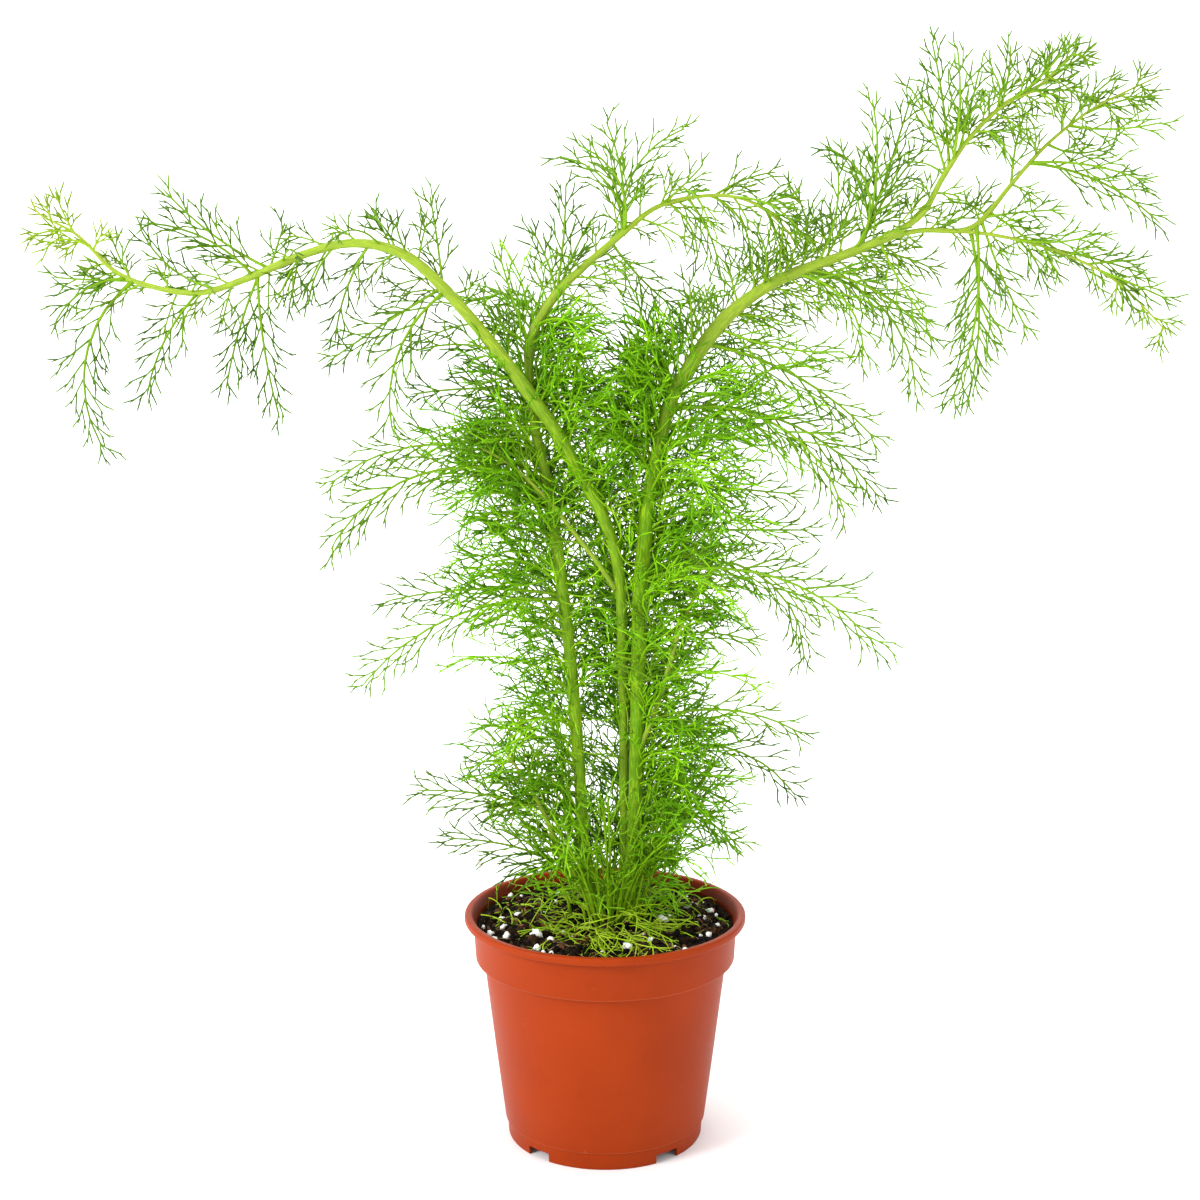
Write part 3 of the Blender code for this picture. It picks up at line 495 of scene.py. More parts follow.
def bending(roots, azimuths, rises, lengths, steps, yaws=0.0):
    """Paths that turn evenly by their yaw while their rise changes evenly, and their sides."""
    u = (np.arange(steps - 1) + 0.5) / (steps - 1)
    elevation = np.radians(rises[:, :1] + (rises[:, 1:] - rises[:, :1]) * u)
    turn = np.radians(azimuths[:, None] + np.broadcast_to(yaws, len(roots))[:, None] * u)
    level = np.cos(elevation)
    moves = np.stack([level * np.cos(turn), level * np.sin(turn), np.sin(elevation)], axis=-1)
    moves = np.concatenate([np.zeros((len(roots), 1, 3)), moves], axis=1)
    step = (lengths / (steps - 1))[:, None, None]
    side = np.stack([-np.sin(turn), np.cos(turn), np.zeros_like(turn)], axis=-1)
    side = np.concatenate([side[:, :1], side], axis=1)
    return roots[:, None] + np.cumsum(moves, axis=1) * step, side


def ring_quads(rings, corners):
    """Quads between neighbouring rings: corner k and the next one, on both rings."""
    row, k = np.meshgrid(np.arange(rings - 1), np.arange(corners), indexing="ij")
    a, b = row * corners + k, row * corners + (k + 1) % corners
    return np.stack([a, b, b + corners, a + corners], axis=-1).reshape(-1, 4)


def repeated(faces, count, each):
    """The same faces for count bodies that follow one another, with each points a body."""
    starts = (np.arange(count) * each)[:, None, None]
    return [(rows[None] + starts).reshape(-1, rows.shape[1]) for rows in faces]


def lattice_noise(x, y, size, rng):
    """Smooth noise from -1 to 1: random values on a square lattice, eased between."""
    values = rng.uniform(-1, 1, (64, 64))
    u, v = x / size, y / size
    i, j = np.floor(u).astype(int), np.floor(v).astype(int)
    s, t = u - i, v - j
    s, t = s * s * (3 - 2 * s), t * t * (3 - 2 * t)
    low = values[i % 64, j % 64] * (1 - s) + values[(i + 1) % 64, j % 64] * s
    high = values[i % 64, (j + 1) % 64] * (1 - s) + values[(i + 1) % 64, (j + 1) % 64] * s
    return low * (1 - t) + high * t


# The plant's skeleton, as in the solids


def seen(across, up, behind):
    """The point behind the plane y = 0 that hides (across, up) on it from EYE."""
    plane = np.stack([across, np.zeros_like(across), up], axis=-1)
    return EYE + (plane - EYE) * (1 - behind / EYE[1])[..., None]


def stem_points(row):
    return seen(row[:, 0], row[:, 1], row[:, 2])


def drawn_frond(stem, fine, row, index):
    """A frond whose bearing turns evenly from root to tip as seen from EYE."""
    across, up, start, end, length = row
    root = fine[np.argmin(np.hypot(fine[:, 0] - across, fine[:, 1] - up))]
    middles = (np.arange(SAMPLES - 1) + 0.5) / (SAMPLES - 1)
    bearing = np.radians(start + (end - start) * middles)
    step = length / (SAMPLES - 1)
    x = root[0] + step * np.concatenate([[0], np.cumsum(np.cos(bearing))])
    z = root[1] + step * np.concatenate([[0], np.cumsum(np.sin(bearing))])

    def leaning(lean):
        behind = root[2] + lean * np.linspace(0, length, SAMPLES)
        path = seen(x, z, behind)
        tangent = unit(np.gradient(path, axis=0))
        side = unit(np.cross((0, -1, 0), tangent))
        return Frond(stem, path, side, length)

    lean = OUTER_LEAN * math.cos(2.4 * index + 0.6)
    return [leaning(lean + change) for change in OTHER_LEANS]


def free_frond(stem, root, azimuth, rise, length):
    """A frond that leaves root near an azimuth, rises at rise[0] and bends evenly to rise[1]."""
    azimuths = azimuth + np.array(OTHER_TURNS, float)
    rows = (len(azimuths), 1)
    lengths = np.full(len(azimuths), length)
    ways = bending(np.tile(root, rows), azimuths, np.tile(rise, rows), lengths, SAMPLES)
    return [Frond(stem, path, side, length) for path, side in zip(*ways)]


def inner_fronds(stem, fine):
    """The ways that each frond of the bushy middle may run."""
    lowest, highest, count, first, last = INNER_FRONDS[stem]
    points = stem_points(fine)
    for index in range(count):
        share = (index + 0.5) / count
        root = points[np.argmin(abs(points[:, 2] - (lowest + (highest - lowest) * share)))]
        azimuth = first + (last - first) * ((index * GOLDEN + 0.3) % 1)
        length = INNER_LENGTH * (0.7 + 0.3 * math.sin(math.pi * share) + 0.2 * (index % 3 - 1))
        length = length * (1 - INNER_NARROWING * abs(math.cos(math.radians(azimuth))))
        rise = np.array(INNER_RISE) + np.array(INNER_RISE_SPREAD) * (
            math.sin(3.1 * index), -math.sin(1.9 * index)
        )
        yield free_frond(stem, root, azimuth, rise, length)


def arm_fronds(stem, fine):
    """The ways that each frond may run that points to the front or the back of an arm."""
    lowest, highest, count = ARM_FRONDS[stem]
    points = stem_points(fine)
    along = length_along(points)
    for index in range(count):
        share = (index + 0.5) / count
        root = points[np.argmin(abs(along - (lowest + (highest - lowest) * share)))]
        azimuth = (270 if index % 2 else 90) + ARM_TURN * math.cos(2.4 * index)
        yield free_frond(stem, root, azimuth, ARM_RISE, ARM_LENGTH * (1.1 - 0.4 * share))


def distances(p, q, r, s):
    """Shortest distances between every segment p-q and every segment r-s."""
    first, second = (q - p)[:, None], (s - r)[None]
    gap = p[:, None] - r[None]
    a, e = (first**2).sum(-1), (second**2).sum(-1)
    b, c, f = (first * second).sum(-1), (first * gap).sum(-1), (second * gap).sum(-1)
    across = np.clip((b * f - c * e) / np.maximum(a * e - b * b, 1e-9), 0, 1)
    along = np.clip((b * across + f) / e, 0, 1)
    across = np.clip((b * along - c) / a, 0, 1)
    return np.linalg.norm(gap + first * across[..., None] - second * along[..., None], axis=-1)


class Space:
    """The capsules that are taken, each by a node and by one of its fronds."""

    def __init__(self):
        self.starts, self.ends = np.zeros((0, 3)), np.zeros((0, 3))
        self.radii, self.nodes, self.fronds = np.zeros(0), np.zeros(0, int), np.zeros(0, int)

    def is_clear(self, others, starts, ends, radius):
        """Which of these capsules stay above the soil and the rim and off the others."""
        near_rim = np.hypot(ends[:, 0], ends[:, 1]) > RIM_TOP_REACH
        standing = ends[:, 2] > np.where(near_rim, RIM_TOP, SOIL_LEVEL) + 3
        gaps = distances(starts, ends, self.starts[others], self.ends[others])
        return standing & (gaps - radius - self.radii[others] > CLEARANCE).all(axis=1)

    def take(self, node, frond, starts, ends, radii):
        self.starts = np.concatenate([self.starts, starts])
        self.ends = np.concatenate([self.ends, ends])
        self.radii = np.concatenate([self.radii, np.broadcast_to(radii, len(starts))])
        self.nodes = np.concatenate([self.nodes, np.full(len(starts), node)])
        self.fronds = np.concatenate([self.fronds, np.full(len(starts), frond)])


def node_of(stem):
    """The number of the leafy stem that a stem or branch belongs to."""
    return {"left": 0, "middle": 1}.get(stem, 2)


def placed(space, ways, node, number):
    """The first way to run a frond that clears all else, or the other nodes, or most of it."""
    elsewhere = space.nodes != node
    fronds = elsewhere | (space.fronds >= 0)
    best, reach = None, 0
    for way in ways:
        free = space.is_clear(elsewhere, way.path[2:-1], way.path[3:], RACHIS_RADIUS)
        if free.all():
            if space.is_clear(fronds, way.path[7:-1], way.path[8:], RACHIS_RADIUS).all():
                best, reach = way, SAMPLES
                break
            if reach < SAMPLES:
                best, reach = way, SAMPLES
        elif free.argmin() + 2 > reach:
            best, reach = way, free.argmin() + 2
    if reach < SAMPLES // 3:
        return None
    if reach < SAMPLES:
        kept = np.linspace(0, reach, SAMPLES)
        path = np.stack([np.interp(kept, np.arange(SAMPLES), c) for c in best.path.T], axis=1)
        side = np.stack([np.interp(kept, np.arange(SAMPLES), c) for c in best.side.T], axis=1)
        best = Frond(best.node, path, side, best.length * reach / (SAMPLES - 1))
    space.take(node, number, best.path[:-1], best.path[1:], RACHIS_RADIUS)
    return best


def grow():
    """Every stem's points and diameters at fine steps, and the fronds of the solids.

    The fronds come in three lists: those that make the outline, those of the bushy middle
    and those that point to the front and the back from the arms.
    """
    space = Space()
    fine, groups = {}, ([], [], [])
    for name, rows in {**STEMS, **BRANCHES}.items():
        fine[name] = smooth(rows, FINE_STEP)
        points = stem_points(fine[name])[::3]
        space.take(node_of(name), -1, points[:-1], points[1:], fine[name][::3][1:, 3] / 2)
    ways = []
    for name, rows in OUTER_FRONDS.items():
        ways += [(0, drawn_frond(name, fine[name], row, at)) for at, row in enumerate(rows)]
    for name in INNER_FRONDS:
        ways += [(1, choices) for choices in inner_fronds(name, fine[name])]
    for name in ARM_FRONDS:
        ways += [(2, choices) for choices in arm_fronds(name, fine[name])]
    for number, (group, choices) in enumerate(ways):
        frond = placed(space, choices, node_of(choices[0].node), number)
        if frond:
            groups[group].append(frond)
    return fine, groups


def basal_fronds():
    """The rachis of each basal spray, from its foot in the soil."""
    for across, behind, azimuth, length, tip_rise in BASAL_SPRAYS:
        root = np.array((across, behind, float(soil_height(across, behind)) + 3.5))
        yield free_frond("basal", root, azimuth, (82, tip_rise), length)[0]


# Surfaces


def joined(shapes):
    """Several shapes as one, with the numbers of their points moved along."""
    shapes = [shape for shape in shapes if len(shape.points)]
    starts = np.cumsum([0] + [len(shape.points) for shape in shapes])
    faces = [rows + start for shape, start in zip(shapes, starts) for rows in shape.faces]
    values = {
        key: np.concatenate([shape.values[key] for shape in shapes]) for key in shapes[0].values
    }
    return Shape(np.concatenate([shape.points for shape in shapes]), faces, values)


def tubes(branches, radii, corners, tone):
    """Closed tubes, each pointed at its tip.

    A ring of corners stands round each point of a path. The last ring is a single point.
    """
    paths = branches.paths
    count, steps, _ = paths.shape
    ring = circles_round(paths, branches.sides, even_turns(corners))
    radii = np.broadcast_to(radii, (count, steps))
    points = paths[:, :, None] + ring * radii[:, :, None, None]
    points = np.concatenate([points[:, :-1].reshape(count, -1, 3), paths[:, -1:]], axis=1)
    each = (steps - 1) * corners + 1
    last, k = (steps - 2) * corners, np.arange(corners)
    tips = np.stack([last + k, last + (k + 1) % corners, np.full(corners, each - 1)], axis=-1)
    caps = k[::-1][None]
    faces = repeated((ring_quads(steps - 1, corners), tips, caps), count, each)

    def spread(values):
        values = np.broadcast_to(values, (count, steps))
        rings = np.repeat(values[:, :-1], corners, axis=1)
        return np.concatenate([rings, values[:, -1:]], axis=1).ravel()

    values = {
        "shade": spread(branches.shade[:, None]),
        "young": spread(branches.young[:, None]),
        "tone": spread(tone),
    }
    return Shape(points.reshape(-1, 3), faces, values)


def lathe(outline, segments):
    """The outline turned about Z: (radius * cos, radius * sin, height); its ends are poles."""
    turn = even_turns(segments)
    outline = np.asarray(outline, float)
    middle = outline[1:-1]
    x = middle[:, :1] * np.cos(turn)
    y = middle[:, :1] * np.sin(turn)
    z = np.broadcast_to(middle[:, 1:2], x.shape)
    body = np.stack([x, y, z], axis=-1).reshape(-1, 3)
    poles = np.array([(0, 0, outline[0, 1]), (0, 0, outline[-1, 1])])
    points = np.concatenate([poles, body])
    quads = 2 + ring_quads(len(middle), segments)
    k = np.arange(segments)
    last = 2 + (len(middle) - 1) * segments
    start = np.stack([np.zeros(segments, int), 2 + (k + 1) % segments, 2 + k], axis=-1)
    end = np.stack([np.ones(segments, int), last + k, last + (k + 1) % segments], axis=-1)
    return Shape(points, [quads, np.concatenate([start, end])], {})


def lumps(places, sizes, rng, roughness):
    """Small lumpy bodies: a ball of four rings, stretched by its sizes, turned at random.

    Each point is place + turn * (sizes * ball point * (1 + roughness * noise)).
    """
    rings, corners = 4, 7
    polar = (np.arange(rings) + 1) * math.pi / (rings + 1)
    around = even_turns(corners)
    across, height = np.sin(polar)[:, None], np.cos(polar)[:, None] + 0 * around
    ball = np.stack([across * np.cos(around), across * np.sin(around), height], axis=-1)
    ball = np.concatenate([ball.reshape(-1, 3), [(0, 0, 1), (0, 0, -1)]])
    count, each = len(places), len(ball)
    noise = 1 + roughness * rng.uniform(-1, 1, (count, each, 1))
    points = ball[None] * noise * np.asarray(sizes)[:, None] / 2
    first = unit(rng.normal(size=(count, 3)) * (1, 1, 0.35))
    second = square_to(unit(rng.normal(size=(count, 3))), first)
    turn = np.stack([first, second, np.cross(first, second)], axis=-1)
    points = np.einsum("nij,nkj->nki", turn, points) + np.asarray(places)[:, None]
    quads = ring_quads(rings, corners)[:, [0, 3, 2, 1]]
    k = np.arange(corners)
    after, low = (k + 1) % corners, (rings - 1) * corners
    top = np.stack([np.full(corners, each - 2), k, after], axis=-1)
    bottom = np.stack([np.full(corners, each - 1), low + after, low + k], axis=-1)
    faces = repeated((quads, top, bottom), count, each)
    shade = np.repeat(rng.uniform(0, 1, count), each)
    return Shape(points.reshape(-1, 3), faces, {"shade": shade})


def new_mesh(name, shape, finish):
    """An object at the world's origin, with the shape in metres and smooth faces."""
    mesh = bpy.data.meshes.new(name)
    sizes = np.concatenate([np.full(len(rows), rows.shape[1]) for rows in shape.faces])
    corners = np.concatenate([rows.ravel() for rows in shape.faces])
    mesh.vertices.add(len(shape.points))
    mesh.vertices.foreach_set("co", (shape.points * MM).ravel())
    mesh.loops.add(len(corners))
    mesh.loops.foreach_set("vertex_index", corners.astype(np.int32))
    mesh.polygons.add(len(sizes))
    mesh.polygons.foreach_set("loop_start", (np.cumsum(sizes) - sizes).astype(np.int32))
    mesh.update(calc_edges=True)
    for key, values in shape.values.items():
        kind, field = ("FLOAT", "value") if values.ndim == 1 else ("FLOAT_VECTOR", "vector")
        mesh.attributes.new(key, kind, "POINT").data.foreach_set(field, values.ravel())
    mesh.shade_smooth()
    mesh.materials.append(finish)
    thing = bpy.data.objects.new(name, mesh)
    bpy.context.scene.collection.objects.link(thing)
    return thing


def piece(name, shape, finish, slot, *nodes):
    """A piece of the plant or its pot that stands for these nodes of the solids."""
    thing = new_mesh(name, shape, finish)
    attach(thing, "root")
    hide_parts(*nodes)


# Leaves


def as_branches(fronds, rng, shade=0.5, young=0.0):
    """Fronds as rows of arrays, each with its true length and a shade of its own."""
    paths = np.stack([frond.path for frond in fronds])
    sides = np.stack([frond.side for frond in fronds])
    lengths = np.linalg.norm(np.diff(paths, axis=1), axis=2).sum(axis=1)
    shade = shade + 0.28 * rng.uniform(-1, 1, len(fronds))
    return Branches(paths, sides, lengths, shade, np.broadcast_to(young, len(fronds)))


# How side branches leave a parent: their spacing, the first and last share of its length
# that they leave from, their least number, their angle and its spread, their roll out of the
# parent's plane, their length as a share of its own, an extra length and the longest one,
# how much shorter they get towards its tip, how far they bend back and how far they curl.
Leaflets = namedtuple(
    "Leaflets", "spacing first last least angle spread roll share extra longest taper bend curl"
)


def leaflets(parents, form, steps, rng, pairs=False):
    """Side branches that leave every parent by turns left and right, or in pairs.

    A leaflet's path is root + length * (u * heading + u * u / 2 * bend + curl), where heading
    turns from the parent's own run by an angle, and bend draws the tip back towards it.
    """
    run = form.last - form.first
    counts = np.maximum(np.round(parents.lengths * run / form.spacing), form.least).astype(int)
    owner = np.repeat(np.arange(len(counts)), counts)
    rank = np.arange(len(owner)) - np.repeat(np.cumsum(counts) - counts, counts)
    if pairs:
        place = rank // 2 * 2 + 0.5 + 0.35 * rng.uniform(-1, 1, len(owner))
        place = np.minimum(place + 0.5, counts[owner] - 0.2)
    else:
        place = rank + 0.5 + 0.3 * rng.uniform(-1, 1, len(owner))
    share = form.first + run * place / counts[owner]
    root = read_off(parents.paths, owner, share)
    tangent = unit(read_off(np.gradient(parents.paths, axis=1), owner, share))
    side = square_to(read_off(parents.sides, owner, share), tangent)
    normal = np.cross(tangent, side)
    hand = np.where((rank + owner) % 2, 1.0, -1.0)[:, None]
    roll = np.radians(form.roll) * rng.uniform(-1, 1, (len(owner), 1))
    outward = hand * (side * np.cos(roll) + normal * np.sin(roll))
    turn = form.angle * (1.15 - 0.4 * share[:, None])
    turn = np.radians(turn + form.spread * rng.uniform(-1, 1, (len(owner), 1)))
    heading = tangent * np.cos(turn) + outward * np.sin(turn)
    across = outward * np.cos(turn) - tangent * np.sin(turn)
    length = parents.lengths[owner] * form.share * (1 - share) ** form.taper
    length = length + form.extra * (1.2 - 0.6 * share)
    length = np.minimum(length, form.longest) * (1 + 0.22 * rng.uniform(-1, 1, len(owner)))
    u = 1 - (1 - np.linspace(0, 1, steps)[None, :, None]) ** 1.6
    bend = form.bend * (tangent - heading)[:, None]
    twist = rng.uniform(-1, 1, (len(owner), 1, 1)) * across[:, None]
    twist = twist + rng.uniform(-1, 1, (len(owner), 1, 1)) * np.cross(heading, across)[:, None]
    curl = form.curl * np.sin(math.pi * 0.9 * u) * u * twist
    paths = root[:, None] + length[:, None, None] * (u * heading[:, None] + u**2 / 2 * bend + curl)
    shade = parents.shade[owner] + 0.2 * rng.uniform(-1, 1, len(owner))
    young = parents.young[owner]
    return Branches(paths, np.repeat(across[:, None], steps, axis=1), length, shade, young)


def frond_shape(rachises, rng, forms, thickness=1.0, tip=0.8, steps=3, forked=5.8):
    """Fronds as tubes: each rachis, its pinnae, their threads and the threads' own forks.

    Pinnae and threads taper from their full radius to tip times it. Only threads longer than
    forked millimetres have forks.
    """
    pinnae = leaflets(rachises, forms[0], steps + 2, rng, pairs=True)
    threads = leaflets(pinnae, forms[1], steps, rng)
    long_threads = threads.lengths > forked
    forks = leaflets(Branches(*(rows[long_threads] for rows in threads)), forms[2], steps, rng)
    stations = np.linspace(0, SAMPLES - 1, 11).round().astype(int)
    slim = Branches(rachises.paths[:, stations], rachises.sides[:, stations], *rachises[2:])
    along = np.linspace(0, 1, len(stations))
    thick = np.clip(rachises.lengths / 80, 0.3, 1.2)[:, None]
    distance = along * rachises.lengths[:, None]
    radii = 0.36 + 0.34 * thick * (1 - along) + 0.4 * thick * np.exp(-((distance / 4) ** 2))
    shapes = [tubes(slim, radii * thickness, 6, 1.0 - 0.8 * along)]
    along = np.linspace(0, 1, steps + 2)
    radii = np.clip(pinnae.lengths / 22, 0.75, 1.1)[:, None] * (1 - (1 - tip) * along)
    shapes.append(tubes(pinnae, radii * PINNA_RADIUS * thickness, 4, 0.25 - 0.2 * along))
    taper = 1 - (1 - tip) * np.linspace(0, 1, steps)
    for threadlike, radius in ((threads, THREAD_RADIUS), (forks, FORK_RADIUS)):
        shapes.append(tubes(threadlike, radius * thickness * taper, 3, 0.0))
    return joined(shapes)


OPEN_FORMS = (
    Leaflets(4.9, 0.10, 0.95, 4, 29, 5, 10, 0.21, 5.2, 19, 0.6, 0.05, 0.0),
    Leaflets(4.8, 0.16, 0.80, 2, 21, 4, 8, 0.42, 5.2, 11, 0.5, 0.0, 0.0),
    Leaflets(5.0, 0.30, 0.60, 1, 22, 4, 8, 0.44, 3.0, 6, 0.4, 0.0, 0.0),
)
FORWARD_FORMS = (
    Leaflets(8.5, 0.15, 0.95, 3, 32, 8, 40, 0.13, 4.5, 11, 0.6, 0.05, 0.0),
    Leaflets(3.8, 0.20, 0.84, 1, 24, 5, 30, 0.38, 2.8, 8, 0.5, 0.0, 0.0),
    Leaflets(5.0, 0.25, 0.60, 1, 22, 4, 12, 0.40, 2.4, 5, 0.4, 0.0, 0.0),
)
BUSH_FORMS = (
    Leaflets(5.5, 0.10, 0.95, 4, 40, 12, 60, 0.20, 5.0, 14, 0.5, 0.30, 0.15),
    Leaflets(4.4, 0.14, 0.88, 2, 34, 10, 60, 0.40, 3.6, 8, 0.4, 0.20, 0.12),
    Leaflets(5.0, 0.28, 0.65, 1, 30, 8, 60, 0.36, 3.0, 5, 0.4, 0.10, 0.10),
)
FILL_FORMS = (
    Leaflets(6.6, 0.06, 0.95, 4, 48, 18, 90, 0.42, 7.0, 28, 0.4, 0.45, 0.28),
    Leaflets(4.7, 0.14, 0.88, 2, 42, 15, 90, 0.42, 5.4, 14, 0.35, 0.30, 0.38),
    Leaflets(6.0, 0.28, 0.70, 1, 36, 12, 80, 0.36, 4.2, 8, 0.4, 0.2, 0.28),
)
BASAL_FORMS = (
    Leaflets(7.5, 0.22, 0.95, 4, 40, 20, 60, 0.30, 6.0, 20, 0.4, 0.4, 0.25),
    Leaflets(6.5, 0.20, 0.85, 1, 38, 16, 60, 0.42, 4.0, 12, 0.4, 0.3, 0.25),
    Leaflets(9.0, 0.30, 0.70, 1, 34, 12, 60, 0.36, 3.4, 7, 0.4, 0.2, 0.15),
)
STRAND_FORM = Leaflets(11.0, 0.15, 0.9, 1, 42, 16, 90, 0.25, 4.0, 12, 0.4, 0.3, 0.35)


def fill_fronds(fine, stem, row, rng):
    """Small fronds at even heights up a stem, each at an azimuth of its own."""
    lowest, highest, count, azimuths, lengths, rise = row
    points = stem_points(fine[stem])
    share = (np.arange(count) + rng.uniform(0, 1, count)) / count
    heights = lowest + (highest - lowest) * share
    roots = points[np.argmin(abs(points[:, 2] - heights[:, None]), axis=1)]
    sector = (np.arange(count) * GOLDEN) % 1
    azimuth = azimuths[0] + (azimuths[1] - azimuths[0]) * sector
    length = rng.uniform(*lengths, count)
    length = length * (1 - FILL_NARROWING * abs(np.cos(np.radians(azimuth))))
    rises = np.array(rise) + rng.uniform(-1, 1, (count, 2)) * FILL_RISE_SPREAD
    paths, sides = bending(roots, azimuth, rises, length, SAMPLES)
    shade = 0.5 + 0.16 * rng.uniform(-1, 1, count)
    return Branches(paths, sides, length, shade, np.zeros(count))


def fill_arm(fine, stem, row, rng):
    """Small fronds along an arching arm, which leave it above, below and behind."""
    lowest, highest, count, lengths = row
    points = stem_points(fine[stem])
    along = length_along(points)
    share = (np.arange(count) + rng.uniform(0, 1, count)) / count
    place = np.searchsorted(along, lowest + (highest - lowest) * share)
    place = np.minimum(place, len(points) - 2)
    tangent = unit(points[place + 1] - points[place])
    side = square_to(np.array((0, 1.0, 0)), tangent)
    up = np.cross(side, tangent)
    turn = np.radians(ARM_SECTOR * ((np.arange(count) * GOLDEN) % 1 - 0.5))[:, None]
    outward = side * np.cos(turn) + up * np.sin(turn)
    angle = np.radians(rng.uniform(*ARM_LEAF_ANGLES, (count, 1)))
    heading = tangent * np.cos(angle) + outward * np.sin(angle)
    across = outward * np.cos(angle) - tangent * np.sin(angle)
    length = rng.uniform(*lengths, count) * (1.1 - 0.4 * share)
    u = np.linspace(0, 1, SAMPLES)[None, :, None]
    droop = np.array((0, 0, -ARM_LEAF_DROOP)) * u**2
    paths = points[place][:, None] + length[:, None, None] * (u * heading[:, None] + droop)
    # each stem's shade, raised on the middle and right stems as painted light
    shade = ARM_PAINTED_LIGHT[stem.split("_")[0]] + 0.3 * rng.uniform(-1, 1, count)
    young = np.where(points[place][:, 0] < YOUNG_REACH, 0.5, 0.15 * share)
    return Branches(paths, np.repeat(across[:, None], SAMPLES, axis=1), length, shade, young)


def together(groups):
    """Several groups of branches as one."""
    return Branches(*(np.concatenate(rows) for rows in zip(*groups)))


def strands(roots, azimuths, rises, lengths, yaws, shade):
    """Long thin threads, each turning evenly by its yaw while its rise changes evenly."""
    paths, sides = bending(roots, azimuths, rises, lengths, STRAND_STEPS, yaws)
    return Branches(paths, sides, lengths, shade, np.full(len(roots), 0.3))


def strand_shape(lines, rng, radius):
    """Strands as tubes, with a few side threads."""
    forks = leaflets(lines, STRAND_FORM, 4, rng)
    lines = tubes(lines, radius * np.linspace(1, 0.8, STRAND_STEPS), 4, 0.2)
    forks = tubes(forks, 0.85 * radius * np.linspace(1, 0.8, 4), 3, 0.0)
    return joined([lines, forks])


def soil_feet(middle, reach, azimuth, lift):
    """Points at a reach and an azimuth from a middle, lifted above the soil's height."""
    x = middle[0] + reach * np.cos(np.radians(azimuth))
    y = middle[1] + reach * np.sin(np.radians(azimuth))
    return np.stack([x, y, soil_height(x, y) + lift], axis=1)


def mat_strands(rng):
    """Strands that rise round the stems' feet, arch outwards and lie down on the soil."""
    count = MAT_STRANDS
    azimuth = (np.arange(count) * GOLDEN * 360) % 360
    azimuth = azimuth + 20 * np.sin(np.radians(2 * azimuth))
    foot = MAT_REACH * np.sqrt(rng.uniform(0.02, 1, count))
    roots = soil_feet(MAT_MIDDLE, foot, azimuth, rng.uniform(-1, 7, count) * (foot < 9))
    rises = np.stack([rng.uniform(-10, 25, count), rng.uniform(-35, 0, count)], axis=1)
    rises = rises + (foot < 13)[:, None] * np.array((35, -25))
    length = rng.uniform(*MAT_LENGTHS, count)
    yaw = rng.uniform(*MAT_YAWS, count) * rng.choice((-1, 1), count)
    heading = azimuth + rng.uniform(-30, 30, count) - yaw / 2
    shade = 0.68 + 0.3 * rng.uniform(-1, 1, count)
    shade = shade - 0.35 * np.clip(abs(roots[:, 0] - BUSH_MIDDLE) / 30, 0, 1)
    return strands(roots, heading, rises, length, yaw, shade)


def back_strands(rng):
    """Strands that lie about on the soil behind and beside the stems."""
    count = BACK_STRANDS
    azimuth = rng.uniform(-25, 205, count)
    foot = np.sqrt(rng.uniform(18**2, 50**2, count))
    roots = soil_feet((0, 0), foot, azimuth, 0.5)
    rises = np.stack([rng.uniform(5, 60, count), rng.uniform(-70, -10, count)], axis=1)
    heading = rng.uniform(0, 360, count)
    shade = 0.45 + 0.3 * rng.uniform(-1, 1, count)
    yaw = rng.uniform(-120, 120, count)
    return strands(roots, heading, rises, rng.uniform(*BACK_LENGTHS, count), yaw, shade)


def clinging_strands(fine, stem, rng):
    """Threads that bow across the front of a stem."""
    lowest, highest, count = CLINGING[stem]
    points = stem_points(fine[stem])
    heights = rng.uniform(lowest, highest, count)
    place = np.argmin(abs(points[:, 2] - heights[:, None]), axis=1)
    radius = fine[stem][place, 3] / 2
    azimuth = rng.uniform(180, 360, count)
    turn = np.radians(azimuth)
    out = np.stack([np.cos(turn), np.sin(turn), 0 * turn], axis=1)
    roots = points[place] + (radius + 0.2)[:, None] * out
    rises = rng.uniform(-80, 80, (count, 2))
    yaw = rng.uniform(-160, 160, count)
    shade = 0.6 + 0.3 * rng.uniform(-1, 1, count)
    return strands(roots, azimuth, rises, rng.uniform(*CLINGING_LENGTHS, count), yaw, shade)


def rising_fronds(rng):
    """Long petioles that stand up out of the soil between the stems and lean outwards."""
    azimuth = (np.arange(RISERS) * GOLDEN * 360 + 40) % 360
    foot = rng.uniform(*RISER_FEET, RISERS)
    roots = soil_feet(RISERS_MIDDLE, foot, azimuth, -1.0)
    rises = np.stack([rng.uniform(76, 90, RISERS), rng.uniform(15, 65, RISERS)], axis=1)
    length = rng.uniform(*RISER_LENGTHS, RISERS)
    paths, sides = bending(roots, azimuth, rises, length, SAMPLES)
    shade = 0.45 + 0.25 * rng.uniform(-1, 1, RISERS)
    return Branches(paths, sides, length, shade, np.full(RISERS, 0.15))


def above_soil(shape):
    """The shape with no point under the soil, and none through the pot's wall."""
    points = shape.points
    reach = np.hypot(points[:, 0], points[:, 1])
    floor = soil_height(points[:, 0], points[:, 1]) + SOIL_CLEARANCE
    low = (reach < POT_REACH) & (points[:, 2] < floor) & (points[:, 2] > SOIL_LEVEL - 25)
    points[low, 2] = floor[low] + 0.15 * (points[low, 2] - floor[low]).clip(-4, 0)
    in_wall = (points[:, 2] < RIM_TOP + 0.5) & (reach > WALL_REACH)
    points[in_wall, :2] *= (WALL_REACH / reach[in_wall])[:, None]
    return shape


